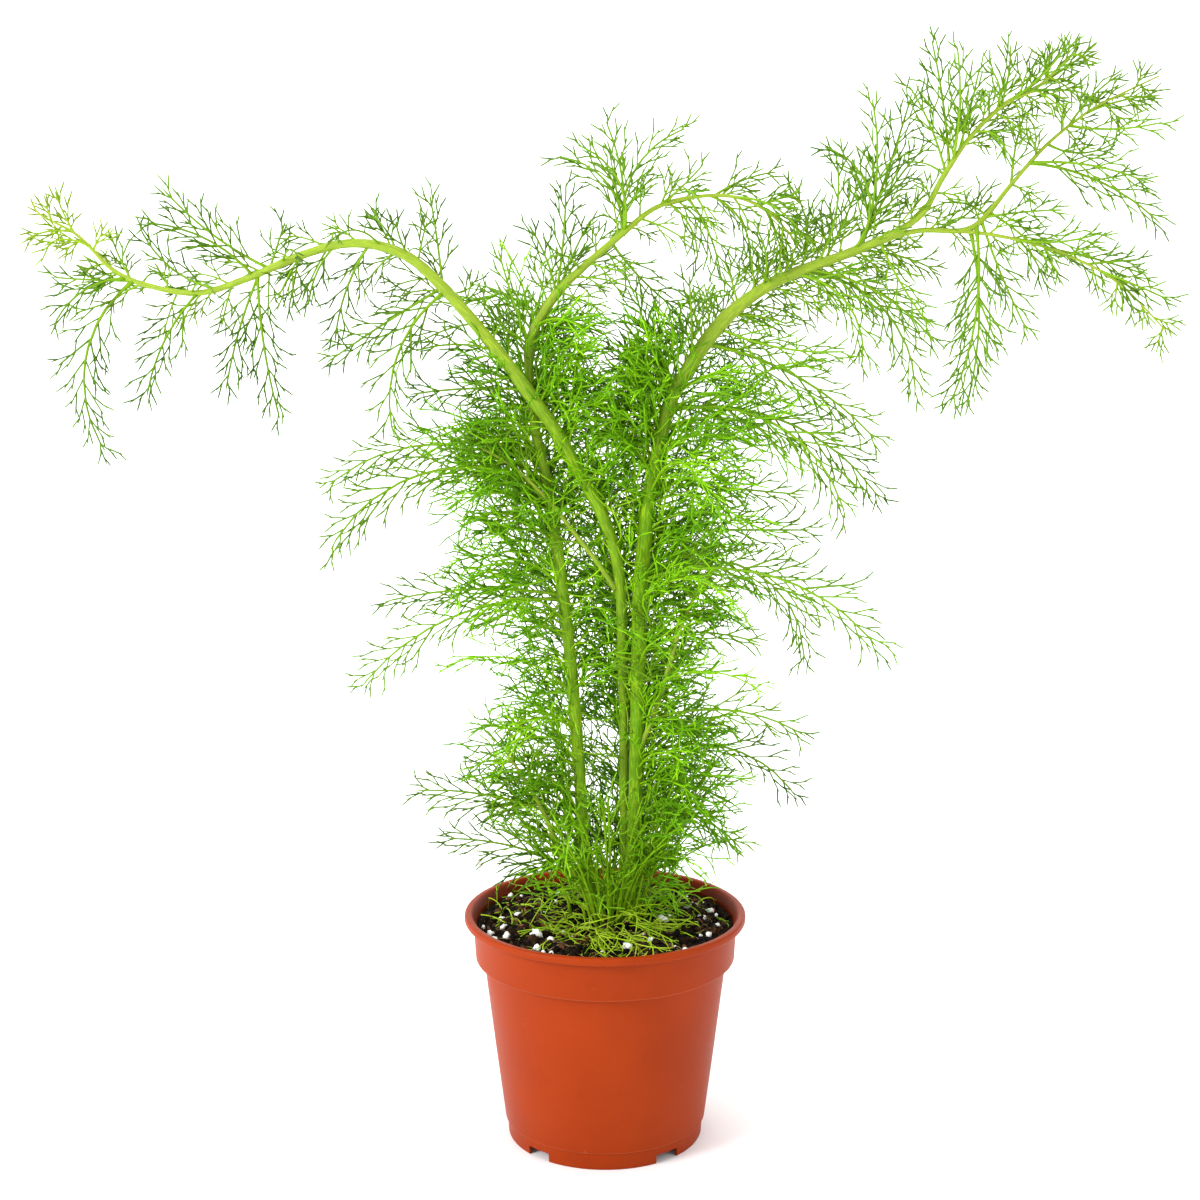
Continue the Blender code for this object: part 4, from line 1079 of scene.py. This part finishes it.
def painted_light_inside(shape):
    """The shape with its shade raised, a little more near the bush's axis than outside: painted
    light that lifts the shade inside the bush.
    """
    reach = np.hypot(shape.points[:, 0] - BUSH_MIDDLE, shape.points[:, 1])
    shape.values["shade"] += 0.15 - 0.02 * np.clip(reach / 60, 0, 1)
    return shape


# Stems


def stem_shape(rows, fronds):
    """A ribbed stem with a swollen ring where each frond leaves it, round at both ends.

    radius = half the diameter * (1 + rib * cos(ribs * turn)) * (1 + swell * the sum of
    exp(-(distance from a node / width) squared)) * the square root that rounds the ends.
    """
    path = stem_points(rows)
    along = length_along(path)
    roots = np.array([frond.path[0] for frond in fronds]).reshape(-1, 3)
    places = along[np.argmin(np.linalg.norm(path[:, None] - roots[None], axis=2), axis=0)]
    near = np.exp(-(((along[:, None] - places[None]) / NODE_WIDTH) ** 2)).max(axis=1, initial=0)
    radius = rows[:, 3] / 2 * (1 + NODE_SWELL * near)
    to_end = (along[-1] - along) / np.maximum(radius, 0.1)
    radius = radius * np.sqrt(np.clip(1 - (1 - np.clip(to_end, 0, 1)) ** 2, 0.001, 1))
    turn = even_turns(STEM_CORNERS)
    around = turn[None] + SKIN_TWIST * along[:, None]
    rib = 1 + RIB_DEPTH * np.cos(RIBS * turn)
    ring = circles_round(path, np.array((0, 1.0, 0)), turn)
    points = path[:, None] + ring * (radius[:, None] * rib)[..., None]
    k = np.arange(STEM_CORNERS)
    faces = [
        ring_quads(len(path), STEM_CORNERS),
        np.stack([k[::-1], (len(path) - 1) * STEM_CORNERS + k]),
    ]
    length = np.broadcast_to(along[:, None] / SKIN_LENGTH, around.shape)
    skin = np.stack([np.cos(around), np.sin(around), length], axis=-1).reshape(-1, 3)
    # young: paler where the stem is thin, as young growth is, and paler with height as painted
    # light on the arching arms
    high = np.clip((path[:, 2] - PAINTED_LIGHT_FROM) / (PAINTED_LIGHT_TO - PAINTED_LIGHT_FROM), 0, 1)
    young = np.maximum(1 - rows[:, 3] / 6, 0.6 * high)
    values = {
        "skin": skin,
        "ring": np.repeat(near, STEM_CORNERS),
        "young": np.repeat(0.82 * young, STEM_CORNERS),
    }
    return Shape(points.reshape(-1, 3), faces, values)


# Soil


def soil_height(x, y):
    """Height of the soil: a low mound with lumps and hollows, calmer at the pot's wall."""
    radius = np.hypot(x, y)
    mound = 2.0 * np.cos(np.clip(radius / SOIL_EDGE_RADIUS, 0, 1) * math.pi / 2)
    swells = 0.9 * np.sin(0.21 * x + 1.3) * np.cos(0.24 * y - 0.4)
    swells = swells + 0.6 * np.sin(0.43 * x - 0.31 * y) + 0.4 * np.cos(0.55 * y + 0.37 * x + 2)
    return SOIL_LEVEL + mound + swells * np.clip((SOIL_EDGE_RADIUS + 4 - radius) / 20, 0.2, 1)


def soil_shape(rng):
    """The soil's body turned about Z, its top raised to the soil's height and roughened."""
    rings = SOIL_EDGE_RADIUS * np.linspace(1, 0, SOIL_RINGS + 1)
    outline = [*SOIL_OUTLINE, *((radius, SOIL_LEVEL) for radius in rings)]
    shape = lathe(outline, SOIL_SEGMENTS)
    points = shape.points
    top = points[:, 2] > SOIL_LEVEL - 1
    x, y = points[top, 0], points[top, 1]
    crumbs = 0.55 * lattice_noise(x + 90, y + 90, 3.1, rng)
    crumbs = crumbs + 0.4 * lattice_noise(x + 90, y + 90, 1.5, rng)
    edge = np.clip((SOIL_EDGE_RADIUS - np.hypot(x, y)) / 2, 0, 1)
    points[top, 2] = soil_height(x, y) + crumbs * edge
    return Shape(points, shape.faces, {"shade": np.full(len(points), 0.3)})


def scattered(count, inner, outer, rng):
    """Places spread evenly over the soil between two radii: radius by a square root."""
    radius = np.sqrt(rng.uniform(inner**2, outer**2, count))
    turn = rng.uniform(0, 2 * math.pi, count)
    return radius * np.cos(turn), radius * np.sin(turn)


def strewn(x, y, lift, sizes, rng, roughness):
    """Lumps on the soil at (x, y), their middles lifted above its height."""
    places = np.stack([x, y, soil_height(x, y) + lift], axis=1)
    return lumps(places, sizes, rng, roughness)


def crumb_shape(rng):
    """Clods and crumbs of dark soil, more of them small than large."""
    x, y = scattered(CRUMBS, 6, 56.5, rng)
    size = 0.9 + 3.4 * rng.uniform(0, 1, CRUMBS) ** 3
    sizes = size[:, None] * rng.uniform(0.6, 1.3, (CRUMBS, 3))
    return strewn(x, y, 0.18 * size, sizes, rng, 0.3)


def perlite_shape(rng):
    """White grains: those that the front shows, and smaller ones all over."""
    shown = np.array(PERLITE)
    x, y = scattered(SMALL_GRAINS, 22, 56, rng)
    x, y = np.concatenate([shown[:, 0], x]), np.concatenate([shown[:, 1], y])
    size = np.concatenate([shown[:, 2] * 0.95, rng.uniform(1.0, 2.6, SMALL_GRAINS)])
    sizes = size[:, None] * rng.uniform(0.6, 1.15, (len(x), 3))
    return strewn(x, y, 0.3 * size, sizes, rng, 0.34)


def bark_shape(rng):
    """Flat chips of bark and scraps of dry leaf that lie on the soil."""
    x, y = scattered(CHIPS, 16, 54, rng)
    size = rng.uniform(1.8, 5.0, CHIPS)
    shown = len(SHOWN_BARK)
    x[:shown], y[:shown], size[:shown] = np.array(SHOWN_BARK).T
    flat = [np.ones(CHIPS), rng.uniform(0.3, 0.6, CHIPS), rng.uniform(0.12, 0.25, CHIPS)]
    return strewn(x, y, 0.12 * size + 0.2, size[:, None] * np.stack(flat, axis=1), rng, 0.25)


def fibre_shape(rng):
    """Thin root fibres and peat threads: low arches, u along and cos(pi * u) up."""
    x, y = scattered(FIBRES, 14, 53, rng)
    length = rng.uniform(4, 13, FIBRES)[:, None]
    turn = rng.uniform(0, 2 * math.pi, FIBRES)[:, None]
    u = np.linspace(-0.5, 0.5, FIBRE_STEPS)[None]
    bend = rng.uniform(-0.25, 0.25, (FIBRES, 1)) * np.cos(math.pi * u)
    ahead, across = u * length, bend * length
    x = x[:, None] + ahead * np.cos(turn) - across * np.sin(turn)
    y = y[:, None] + ahead * np.sin(turn) + across * np.cos(turn)
    inward = np.minimum(1, FIBRE_REACH / np.hypot(x, y))
    x, y = x * inward, y * inward
    arch = rng.uniform(0, 0.09, (FIBRES, 1)) * length * np.cos(math.pi * u)
    paths = np.stack([x, y, soil_height(x, y) + 0.5 + arch], axis=-1)
    sides = np.broadcast_to((0, 0, 1.0), paths.shape)
    fibres = Branches(paths, sides, length[:, 0], rng.uniform(0, 1, FIBRES), np.zeros(FIBRES))
    shape = tubes(fibres, np.linspace(0.22, 0.12, FIBRE_STEPS), 4, 0.0)
    return Shape(shape.points, shape.faces, {"shade": shape.values["shade"]})


# Pot


def block(name, low, high, turn):
    """A box from low to high, turned about Z by an angle in degrees."""
    corners = np.array([(x, y, z) for x in (0, 1) for y in (0, 1) for z in (0, 1)], float)
    x, y, z = (corners * (np.array(high) - low) + low).T
    angle = math.radians(turn)
    across = x * math.cos(angle) - y * math.sin(angle)
    behind = x * math.sin(angle) + y * math.cos(angle)
    faces = np.array(
        [(0, 1, 3, 2), (4, 6, 7, 5), (0, 4, 5, 1), (2, 3, 7, 6), (0, 2, 6, 4), (1, 5, 7, 3)]
    )
    return new_mesh(name, Shape(np.stack([across, behind, z], axis=1), [faces], {}), None)


def cut(thing, cutters):
    """Cuts the cutters out of a mesh in one exact Boolean and removes them."""
    collection = bpy.data.collections.new(thing.name + "_cutters")
    bpy.context.scene.collection.children.link(collection)
    for cutter in cutters:
        bpy.context.scene.collection.objects.unlink(cutter)
        collection.objects.link(cutter)
    modifier = thing.modifiers.new("cutters", "BOOLEAN")
    modifier.operand_type = "COLLECTION"
    modifier.collection = collection
    modifier.operation = "DIFFERENCE"
    modifier.solver = "EXACT"
    graph = bpy.context.evaluated_depsgraph_get()
    mesh = bpy.data.meshes.new_from_object(thing.evaluated_get(graph))
    thing.modifiers.clear()
    thing.data = mesh
    for cutter in cutters:
        bpy.data.objects.remove(cutter)
    bpy.data.collections.remove(collection)


def make_pot(finish):
    """The pot's turned shell, with its notches and drain slots cut out."""
    thing = new_mesh("pot_shell", lathe(rounded(POT_OUTLINE, ROUNDING_STEPS), POT_SEGMENTS), finish)
    cutters = []
    half = NOTCH_WIDTH / 2
    for number, turn in enumerate(NOTCH_TURNS):
        foot = ((NOTCH_INNER_RADIUS, -half, -1), (NOTCH_OUTER_RADIUS, half, NOTCH_TOP))
        drain = ((NOTCH_INNER_RADIUS, -half, NOTCH_TOP - 1), (DRAIN_OUTER_RADIUS, half, DRAIN_TOP))
        cutters.append(block(f"notch_{number}", *foot, turn))
        cutters.append(block(f"drain_{number}", *drain, turn))
    cut(thing, cutters)
    thing.data.materials.clear()
    thing.data.materials.append(finish)
    thing.data.shade_smooth()
    thing.data.set_sharp_from_angle(angle=math.radians(32))
    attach(thing, "root")
    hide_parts("pot")


# Materials


def node(tree, kind, inputs=None, **settings):
    """A new node with these settings, and these values on its inputs."""
    made = tree.nodes.new(kind)
    for key, value in settings.items():
        setattr(made, key, value)
    for key, value in (inputs or {}).items():
        made.inputs[key].default_value = value
    return made


def fine_grain_group():
    """Noise at two sizes over the object: a mask from 0 to 1 and a height for bumps."""
    group = bpy.data.node_groups.new("fine_grain", "ShaderNodeTree")
    face = group.interface
    for name, value in (("Coarse Scale", 40.0), ("Fine Scale", 400.0), ("Fine Share", 0.4)):
        face.new_socket(name, in_out="INPUT", socket_type="NodeSocketFloat").default_value = value
    face.new_socket("Mask", in_out="OUTPUT", socket_type="NodeSocketFloat")
    face.new_socket("Height", in_out="OUTPUT", socket_type="NodeSocketFloat")
    link = group.links.new
    given, out = node(group, "NodeGroupInput"), node(group, "NodeGroupOutput")
    place = node(group, "ShaderNodeTexCoord")
    noises = []
    for scale in ("Coarse Scale", "Fine Scale"):
        noise = node(group, "ShaderNodeTexNoise", {"Detail": 3.0})
        link(place.outputs["Object"], noise.inputs["Vector"])
        link(given.outputs[scale], noise.inputs["Scale"])
        noises.append(noise)
    blend = node(group, "ShaderNodeMix")
    link(given.outputs["Fine Share"], blend.inputs["Factor"])
    link(noises[0].outputs["Fac"], blend.inputs["A"])
    link(noises[1].outputs["Fac"], blend.inputs["B"])
    reach = node(group, "ShaderNodeMapRange", {"From Min": 0.32, "From Max": 0.68})
    link(blend.outputs["Result"], reach.inputs["Value"])
    link(reach.outputs["Result"], out.inputs["Mask"])
    link(blend.outputs["Result"], out.inputs["Height"])
    return group


FINE_GRAIN = fine_grain_group()


class Finish:
    """A material under construction, with short ways to add and join its nodes."""

    def __init__(self, name, roughness, specular=0.5):
        self.material = bpy.data.materials.new(name)
        self.material.use_nodes = True
        self.tree = self.material.node_tree
        self.shader = self.tree.nodes["Principled BSDF"]
        self.shader.inputs["Roughness"].default_value = roughness
        self.shader.inputs["Specular IOR Level"].default_value = specular

    def join(self, source, target):
        self.tree.links.new(source, target)

    def feed(self, target, value):
        """Joins a socket to an input, or sets the input to a number or a colour."""
        if isinstance(value, bpy.types.NodeSocket):
            self.join(value, target)
        elif isinstance(value, tuple):
            target.default_value = (*value, 1)
        else:
            target.default_value = value

    def grain(self, coarse, fine, share):
        inputs = {"Coarse Scale": coarse, "Fine Scale": fine, "Fine Share": share}
        return node(self.tree, "ShaderNodeGroup", inputs, node_tree=FINE_GRAIN)

    def attribute(self, name, output="Fac"):
        made = node(self.tree, "ShaderNodeAttribute", attribute_name=name)
        return made.outputs[output]

    def ramp(self, source, stops):
        made = node(self.tree, "ShaderNodeValToRGB")
        elements = made.color_ramp.elements
        while len(elements) < len(stops):
            elements.new(0.5)
        for element, (place, color) in zip(elements, stops):
            element.position = place
            element.color = (*color, 1)
        self.join(source, made.inputs["Fac"])
        return made.outputs["Color"]

    def mix(self, factor, first, second):
        made = node(self.tree, "ShaderNodeMix", data_type="RGBA")
        for value, number in ((factor, 0), (first, 6), (second, 7)):
            self.feed(made.inputs[number], value)
        return made.outputs[2]

    def math(self, operation, first, second=0):
        made = node(self.tree, "ShaderNodeMath", operation=operation)
        self.feed(made.inputs[0], first)
        self.feed(made.inputs[1], second)
        return made.outputs[0]

    def tint(self, color, mask, amount, other):
        """The colour mixed towards another one, by an amount of a mask."""
        return self.mix(self.math("MULTIPLY", mask, amount), color, other)

    def span(self, source, low, high, to_low, to_high):
        inputs = {"From Min": low, "From Max": high, "To Min": to_low, "To Max": to_high}
        made = node(self.tree, "ShaderNodeMapRange", inputs)
        self.join(source, made.inputs["Value"])
        return made.outputs["Result"]

    def bump(self, height, distance, strength):
        made = node(self.tree, "ShaderNodeBump", {"Distance": distance, "Strength": strength})
        self.join(height, made.inputs["Height"])
        self.join(made.outputs["Normal"], self.shader.inputs["Normal"])

    def done(self, color, roughness=None):
        self.join(color, self.shader.inputs["Base Color"])
        if roughness is not None:
            self.join(roughness, self.shader.inputs["Roughness"])
        return self.material


def leaf_finish(name, dark, middle, bright):
    """Green threads, each of its own shade, paler along a rachis and on young growth."""
    finish = Finish(name, 0.5, 0.12)
    grain = finish.grain(60.0, 700.0, 0.3)
    mottle = finish.span(grain.outputs["Mask"], 0, 1, -0.15, 0.15)
    shade = finish.math("ADD", finish.attribute("shade"), mottle)
    color = finish.ramp(shade, ((0.1, dark), (0.5, middle), (0.95, bright)))
    color = finish.tint(color, finish.attribute("tone"), 0.8, RACHIS_GREEN)
    color = finish.mix(finish.attribute("young"), color, YOUNG_GREEN)
    finish.bump(grain.outputs["Height"], 0.0001, 0.3)
    return finish.done(color, finish.span(grain.outputs["Mask"], 0, 1, 0.45, 0.65))


def stem_finish():
    """Lime skin with lengthwise streaks from its own skin map, darker at the rings, paler where
    young and, as painted light, high up.
    """
    finish = Finish("stem_skin", 0.45, 0.12)
    streaks = node(finish.tree, "ShaderNodeTexNoise", {"Scale": 4.5, "Detail": 4.0})
    finish.join(finish.attribute("skin", "Vector"), streaks.inputs["Vector"])
    color = finish.ramp(streaks.outputs["Fac"], STEM_GREENS)
    blotches = finish.grain(45.0, 500.0, 0.25)
    color = finish.tint(color, blotches.outputs["Mask"], 0.4, STEM_BLOTCH)
    color = finish.tint(color, finish.attribute("ring"), 0.4, STEM_RING)
    # paler on young growth and, as painted light, on the high arms
    color = finish.tint(color, finish.attribute("young"), 0.9, YOUNG_STEM_AND_PAINTED_LIGHT)
    finish.bump(streaks.outputs["Fac"], 0.0002, 0.35)
    return finish.done(color, finish.span(blotches.outputs["Mask"], 0, 1, 0.34, 0.5))


def pot_finish():
    """Satin moulded plastic: blotches, fine grain, pale lines on its step edges as a painted
    highlight, and painted shade that darkens it inside.
    """
    finish = Finish("terracotta_plastic", 0.45, 0.08)
    grain = finish.grain(28.0, 900.0, 0.25)
    color = finish.ramp(grain.outputs["Mask"], POT_REDS)
    scuffs = finish.grain(180.0, 1400.0, 0.35)
    marks = finish.span(scuffs.outputs["Height"], 0.66, 0.72, 0.0, 0.5)
    color = finish.mix(marks, color, POT_SCUFF)
    place = node(finish.tree, "ShaderNodeTexCoord")
    split = node(finish.tree, "ShaderNodeSeparateXYZ")
    finish.join(place.outputs["Object"], split.inputs[0])
    across, behind, up = split.outputs
    # pale lines where the step edges catch the light: a painted highlight
    for height, width in PAINTED_HIGHLIGHT_EDGES:
        off = finish.math("ABSOLUTE", finish.math("SUBTRACT", up, height))
        color = finish.mix(finish.span(off, 0.0, width, 0.6, 0.0), color, POT_EDGE_HIGHLIGHT)
    squares = [finish.math("MULTIPLY", side, side) for side in (across, behind)]
    reach = finish.math("SQRT", finish.math("ADD", *squares))
    # painted shade on the inner wall and the inner lip, fading out towards the rim's top
    painted_shade = []
    for radii, heights in (PAINTED_SHADE_WALL, PAINTED_SHADE_LIP):
        within = finish.span(reach, *radii, 1.0, 0.0)
        painted_shade.append(finish.math("MULTIPLY", within, finish.span(up, *heights, 0.0, 1.0)))
    fade = finish.span(up, *RIM_FADE, 0.8, 0.0)
    color = finish.tint(color, finish.math("MAXIMUM", *painted_shade), fade, POT_PAINTED_SHADE)
    finish.bump(grain.outputs["Height"], 0.0002, 0.12)
    return finish.done(color, finish.span(grain.outputs["Mask"], 0, 1, 0.38, 0.52))


def speckled_finish(name, stops, rough=(0.85, 1.0), coarse=150.0, fine=1500.0, depth=0.0006):
    """Earth, bark and perlite: a colour by each lump's own shade and by noise."""
    finish = Finish(name, rough[1], 0.1)
    grain = finish.grain(coarse, fine, 0.45)
    own = finish.math("MULTIPLY", finish.attribute("shade"), 0.55)
    shade = finish.math("ADD", own, finish.span(grain.outputs["Mask"], 0, 1, 0.0, 0.45))
    color = finish.ramp(shade, stops)
    finish.bump(grain.outputs["Height"], depth, 0.8)
    return finish.done(color, finish.span(grain.outputs["Mask"], 0, 1, *rough))


# Making


def make_leafy_stem(name, fine, groups, finishes, rng):
    """One leafy stem: its skin, its outline fronds, its filling, arm leaves and threads."""
    solid_name = f"dill_{name}"
    stem_skin, leaf, inner = finishes
    parts = [part for part in fine if part.split("_")[0] == name]
    outer, bush, forward = ([frond for frond in group if frond.node in parts] for group in groups)
    tables = {**STEMS, **BRANCHES, **PETIOLES}
    stems = []
    for part in parts:
        leaving = [frond for frond in outer + bush + forward if frond.node == part]
        stems.append(stem_shape(smooth(tables[part], STEM_STEP), leaving))
    piece(f"{name}_stem", joined(stems), stem_skin, "dill", solid_name)

    young = [0.4 if frond.path[0][0] < YOUNG_REACH else 0.0 for frond in outer]
    outer = as_branches(outer, rng, ARM_PAINTED_LIGHT[name], young)
    outer = frond_shape(outer, rng, OPEN_FORMS, thickness=1.08, forked=8.5)
    forward = as_branches(forward, rng, ARM_PAINTED_LIGHT[name])
    forward = frond_shape(forward, rng, FORWARD_FORMS, thickness=0.9, tip=0.85, forked=5.0)
    piece(f"{name}_fronds", joined([outer, forward]), leaf, "dill", solid_name)

    filling = together([fill_fronds(fine, name, row, rng) for row in FILL_FRONDS[name]])
    filling = frond_shape(filling, rng, FILL_FORMS, thickness=0.98, steps=4)
    bush = frond_shape(as_branches(bush, rng), rng, BUSH_FORMS, 0.9, steps=4)
    shape = painted_light_inside(above_soil(joined([filling, bush])))
    piece(f"{name}_filling", shape, inner, "dill", solid_name)

    leaves = [fill_arm(fine, part, row, rng) for part in parts for row in FILL_ARMS[part]]
    leaves = frond_shape(together(leaves), rng, OPEN_FORMS, forked=8.0)
    piece(f"{name}_arm_leaves", leaves, leaf, "dill", solid_name)
    threads = strand_shape(clinging_strands(fine, name, rng), rng, CLINGING_RADIUS)
    piece(f"{name}_clinging", threads, inner, "dill", solid_name)


def make_basal(inner, rng):
    """The basal sprays with the petioles between the stems, and the mat on the soil."""
    nodes = [f"basal_{number + 1}" for number in range(len(BASAL_SPRAYS))]
    sprays = as_branches(list(basal_fronds()), rng, young=0.1)
    shape = frond_shape(together([sprays, rising_fronds(rng)]), rng, BASAL_FORMS, 0.9, steps=4)
    piece("basal_fronds", above_soil(shape), inner, "basal", *nodes)
    shape = strand_shape(together([mat_strands(rng), back_strands(rng)]), rng, MAT_RADIUS)
    piece("basal_mat", above_soil(shape), leaf_finish("mat_leaf", *MAT_GREENS), "basal", *nodes)


def make_plant():
    """The leafy stems and, round their feet, the basal leaves."""
    rng = np.random.default_rng(SEED)
    fine, groups = grow()
    fine.update({name: smooth(rows, FINE_STEP) for name, rows in PETIOLES.items()})
    inner = leaf_finish("inner_leaf", *INNER_GREENS)
    finishes = stem_finish(), leaf_finish("dill_leaf", *LEAF_GREENS), inner
    for name in STEMS:
        make_leafy_stem(name, fine, groups, finishes, rng)
    make_basal(inner, rng)


def make_soil():
    """The soil's body and what lies on it."""
    rng = np.random.default_rng(SEED + 1)
    earth = speckled_finish("potting_soil", EARTH)
    white = speckled_finish("perlite_white", PERLITE_WHITES, depth=0.0001)
    brown = speckled_finish("bark_brown", BARK_BROWNS, (0.7, 0.9))
    pieces = (
        ("soil_body", soil_shape, earth), ("soil_crumbs", crumb_shape, earth),
        ("perlite", perlite_shape, white), ("bark_chips", bark_shape, brown),
        ("root_fibres", fibre_shape, speckled_finish("fibre_straw", FIBRE_STRAWS)),
    )
    for name, shape, finish in pieces:
        piece(name, shape(rng), finish, "soil", "soil")


def floor_finish():
    """Near-white ground that glows a little more with its distance from the pot."""
    finish = Finish("pale_floor", 0.8)
    grain = finish.grain(6.0, 60.0, 0.2)
    place = node(finish.tree, "ShaderNodeTexCoord")
    reach = node(finish.tree, "ShaderNodeVectorMath", operation="LENGTH")
    finish.join(place.outputs["Object"], reach.inputs[0])
    glow = finish.span(reach.outputs["Value"], 0.12, 0.9, 0.0, 0.75)
    finish.join(glow, finish.shader.inputs["Emission Strength"])
    finish.feed(finish.shader.inputs["Emission Color"], (1, 1, 1))
    return finish.done(finish.ramp(grain.outputs["Mask"], FLOOR_WHITES))


def backdrop_shape():
    """A floor that curves up far behind: a quarter of a circle, then straight up."""
    width = np.linspace(-FLOOR_REACH, FLOOR_REACH, 9)
    flat = np.linspace(-FLOOR_REACH, CURVE_START, 12)
    turn = np.linspace(0.1, 1.5, CURVE_STEPS)
    run = np.concatenate([flat, CURVE_START + CURVE_RADIUS * np.sin(turn)])
    rise = np.concatenate([np.zeros_like(flat), CURVE_RADIUS * (1 - np.cos(turn))])
    run, rise = np.append(run, run[-1] + 5), np.append(rise, FLOOR_REACH)
    x, y = np.meshgrid(width, run, indexing="ij")
    points = np.stack([x, y, np.broadcast_to(rise, x.shape)], axis=-1).reshape(-1, 3)
    i, j = np.meshgrid(np.arange(len(width) - 1), np.arange(len(run) - 1), indexing="ij")
    a = i * len(run) + j
    quads = np.stack([a, a + len(run), a + len(run) + 1, a + 1], axis=-1).reshape(-1, 4)
    return Shape(points, [quads], {})


def area_light(name, place, size, power):
    """A round light that shines at the middle of the part."""
    light = bpy.data.lights.new(name, "AREA")
    light.shape = "DISK"
    light.size = size
    light.energy = power
    made = bpy.data.objects.new(name, light)
    made.location = place
    aim = Vector(LIGHT_TARGET) - Vector(place)
    made.rotation_euler = aim.to_track_quat("-Z", "Y").to_euler()
    bpy.context.scene.collection.objects.link(made)


def make_stage():
    """A pale floor and backdrop, soft light from the front left, and a white surround."""
    floor = new_mesh("floor", backdrop_shape(), floor_finish())
    for row in LIGHTS:
        area_light(*row)
    world = bpy.data.worlds.new("studio")
    world.use_nodes = True
    tree = world.node_tree
    background = tree.nodes["Background"]
    background.inputs["Color"].default_value = (1, 1, 1, 1)
    sight = node(tree, "ShaderNodeLightPath")
    strength = node(tree, "ShaderNodeMapRange", {"To Min": 0.85, "To Max": 1.0})
    tree.links.new(sight.outputs["Is Camera Ray"], strength.inputs["Value"])
    tree.links.new(strength.outputs["Result"], background.inputs["Strength"])
    bpy.context.scene.world = world


def make_camera():
    """The scene's camera, in front of the plant and level with its middle."""
    camera = bpy.data.cameras.new("camera")
    camera.lens = CAMERA_LENS
    camera.sensor_width = 36
    camera.clip_start, camera.clip_end = 0.05, 50
    made = bpy.data.objects.new("camera", camera)
    made.location = CAMERA_PLACE
    made.rotation_euler = (math.radians(90 - CAMERA_TILT), 0, 0)
    bpy.context.scene.collection.objects.link(made)
    bpy.context.scene.camera = made
    bpy.context.scene.view_settings.view_transform = "Standard"


make_camera()
make_stage()
make_pot(pot_finish())
make_soil()
make_plant()
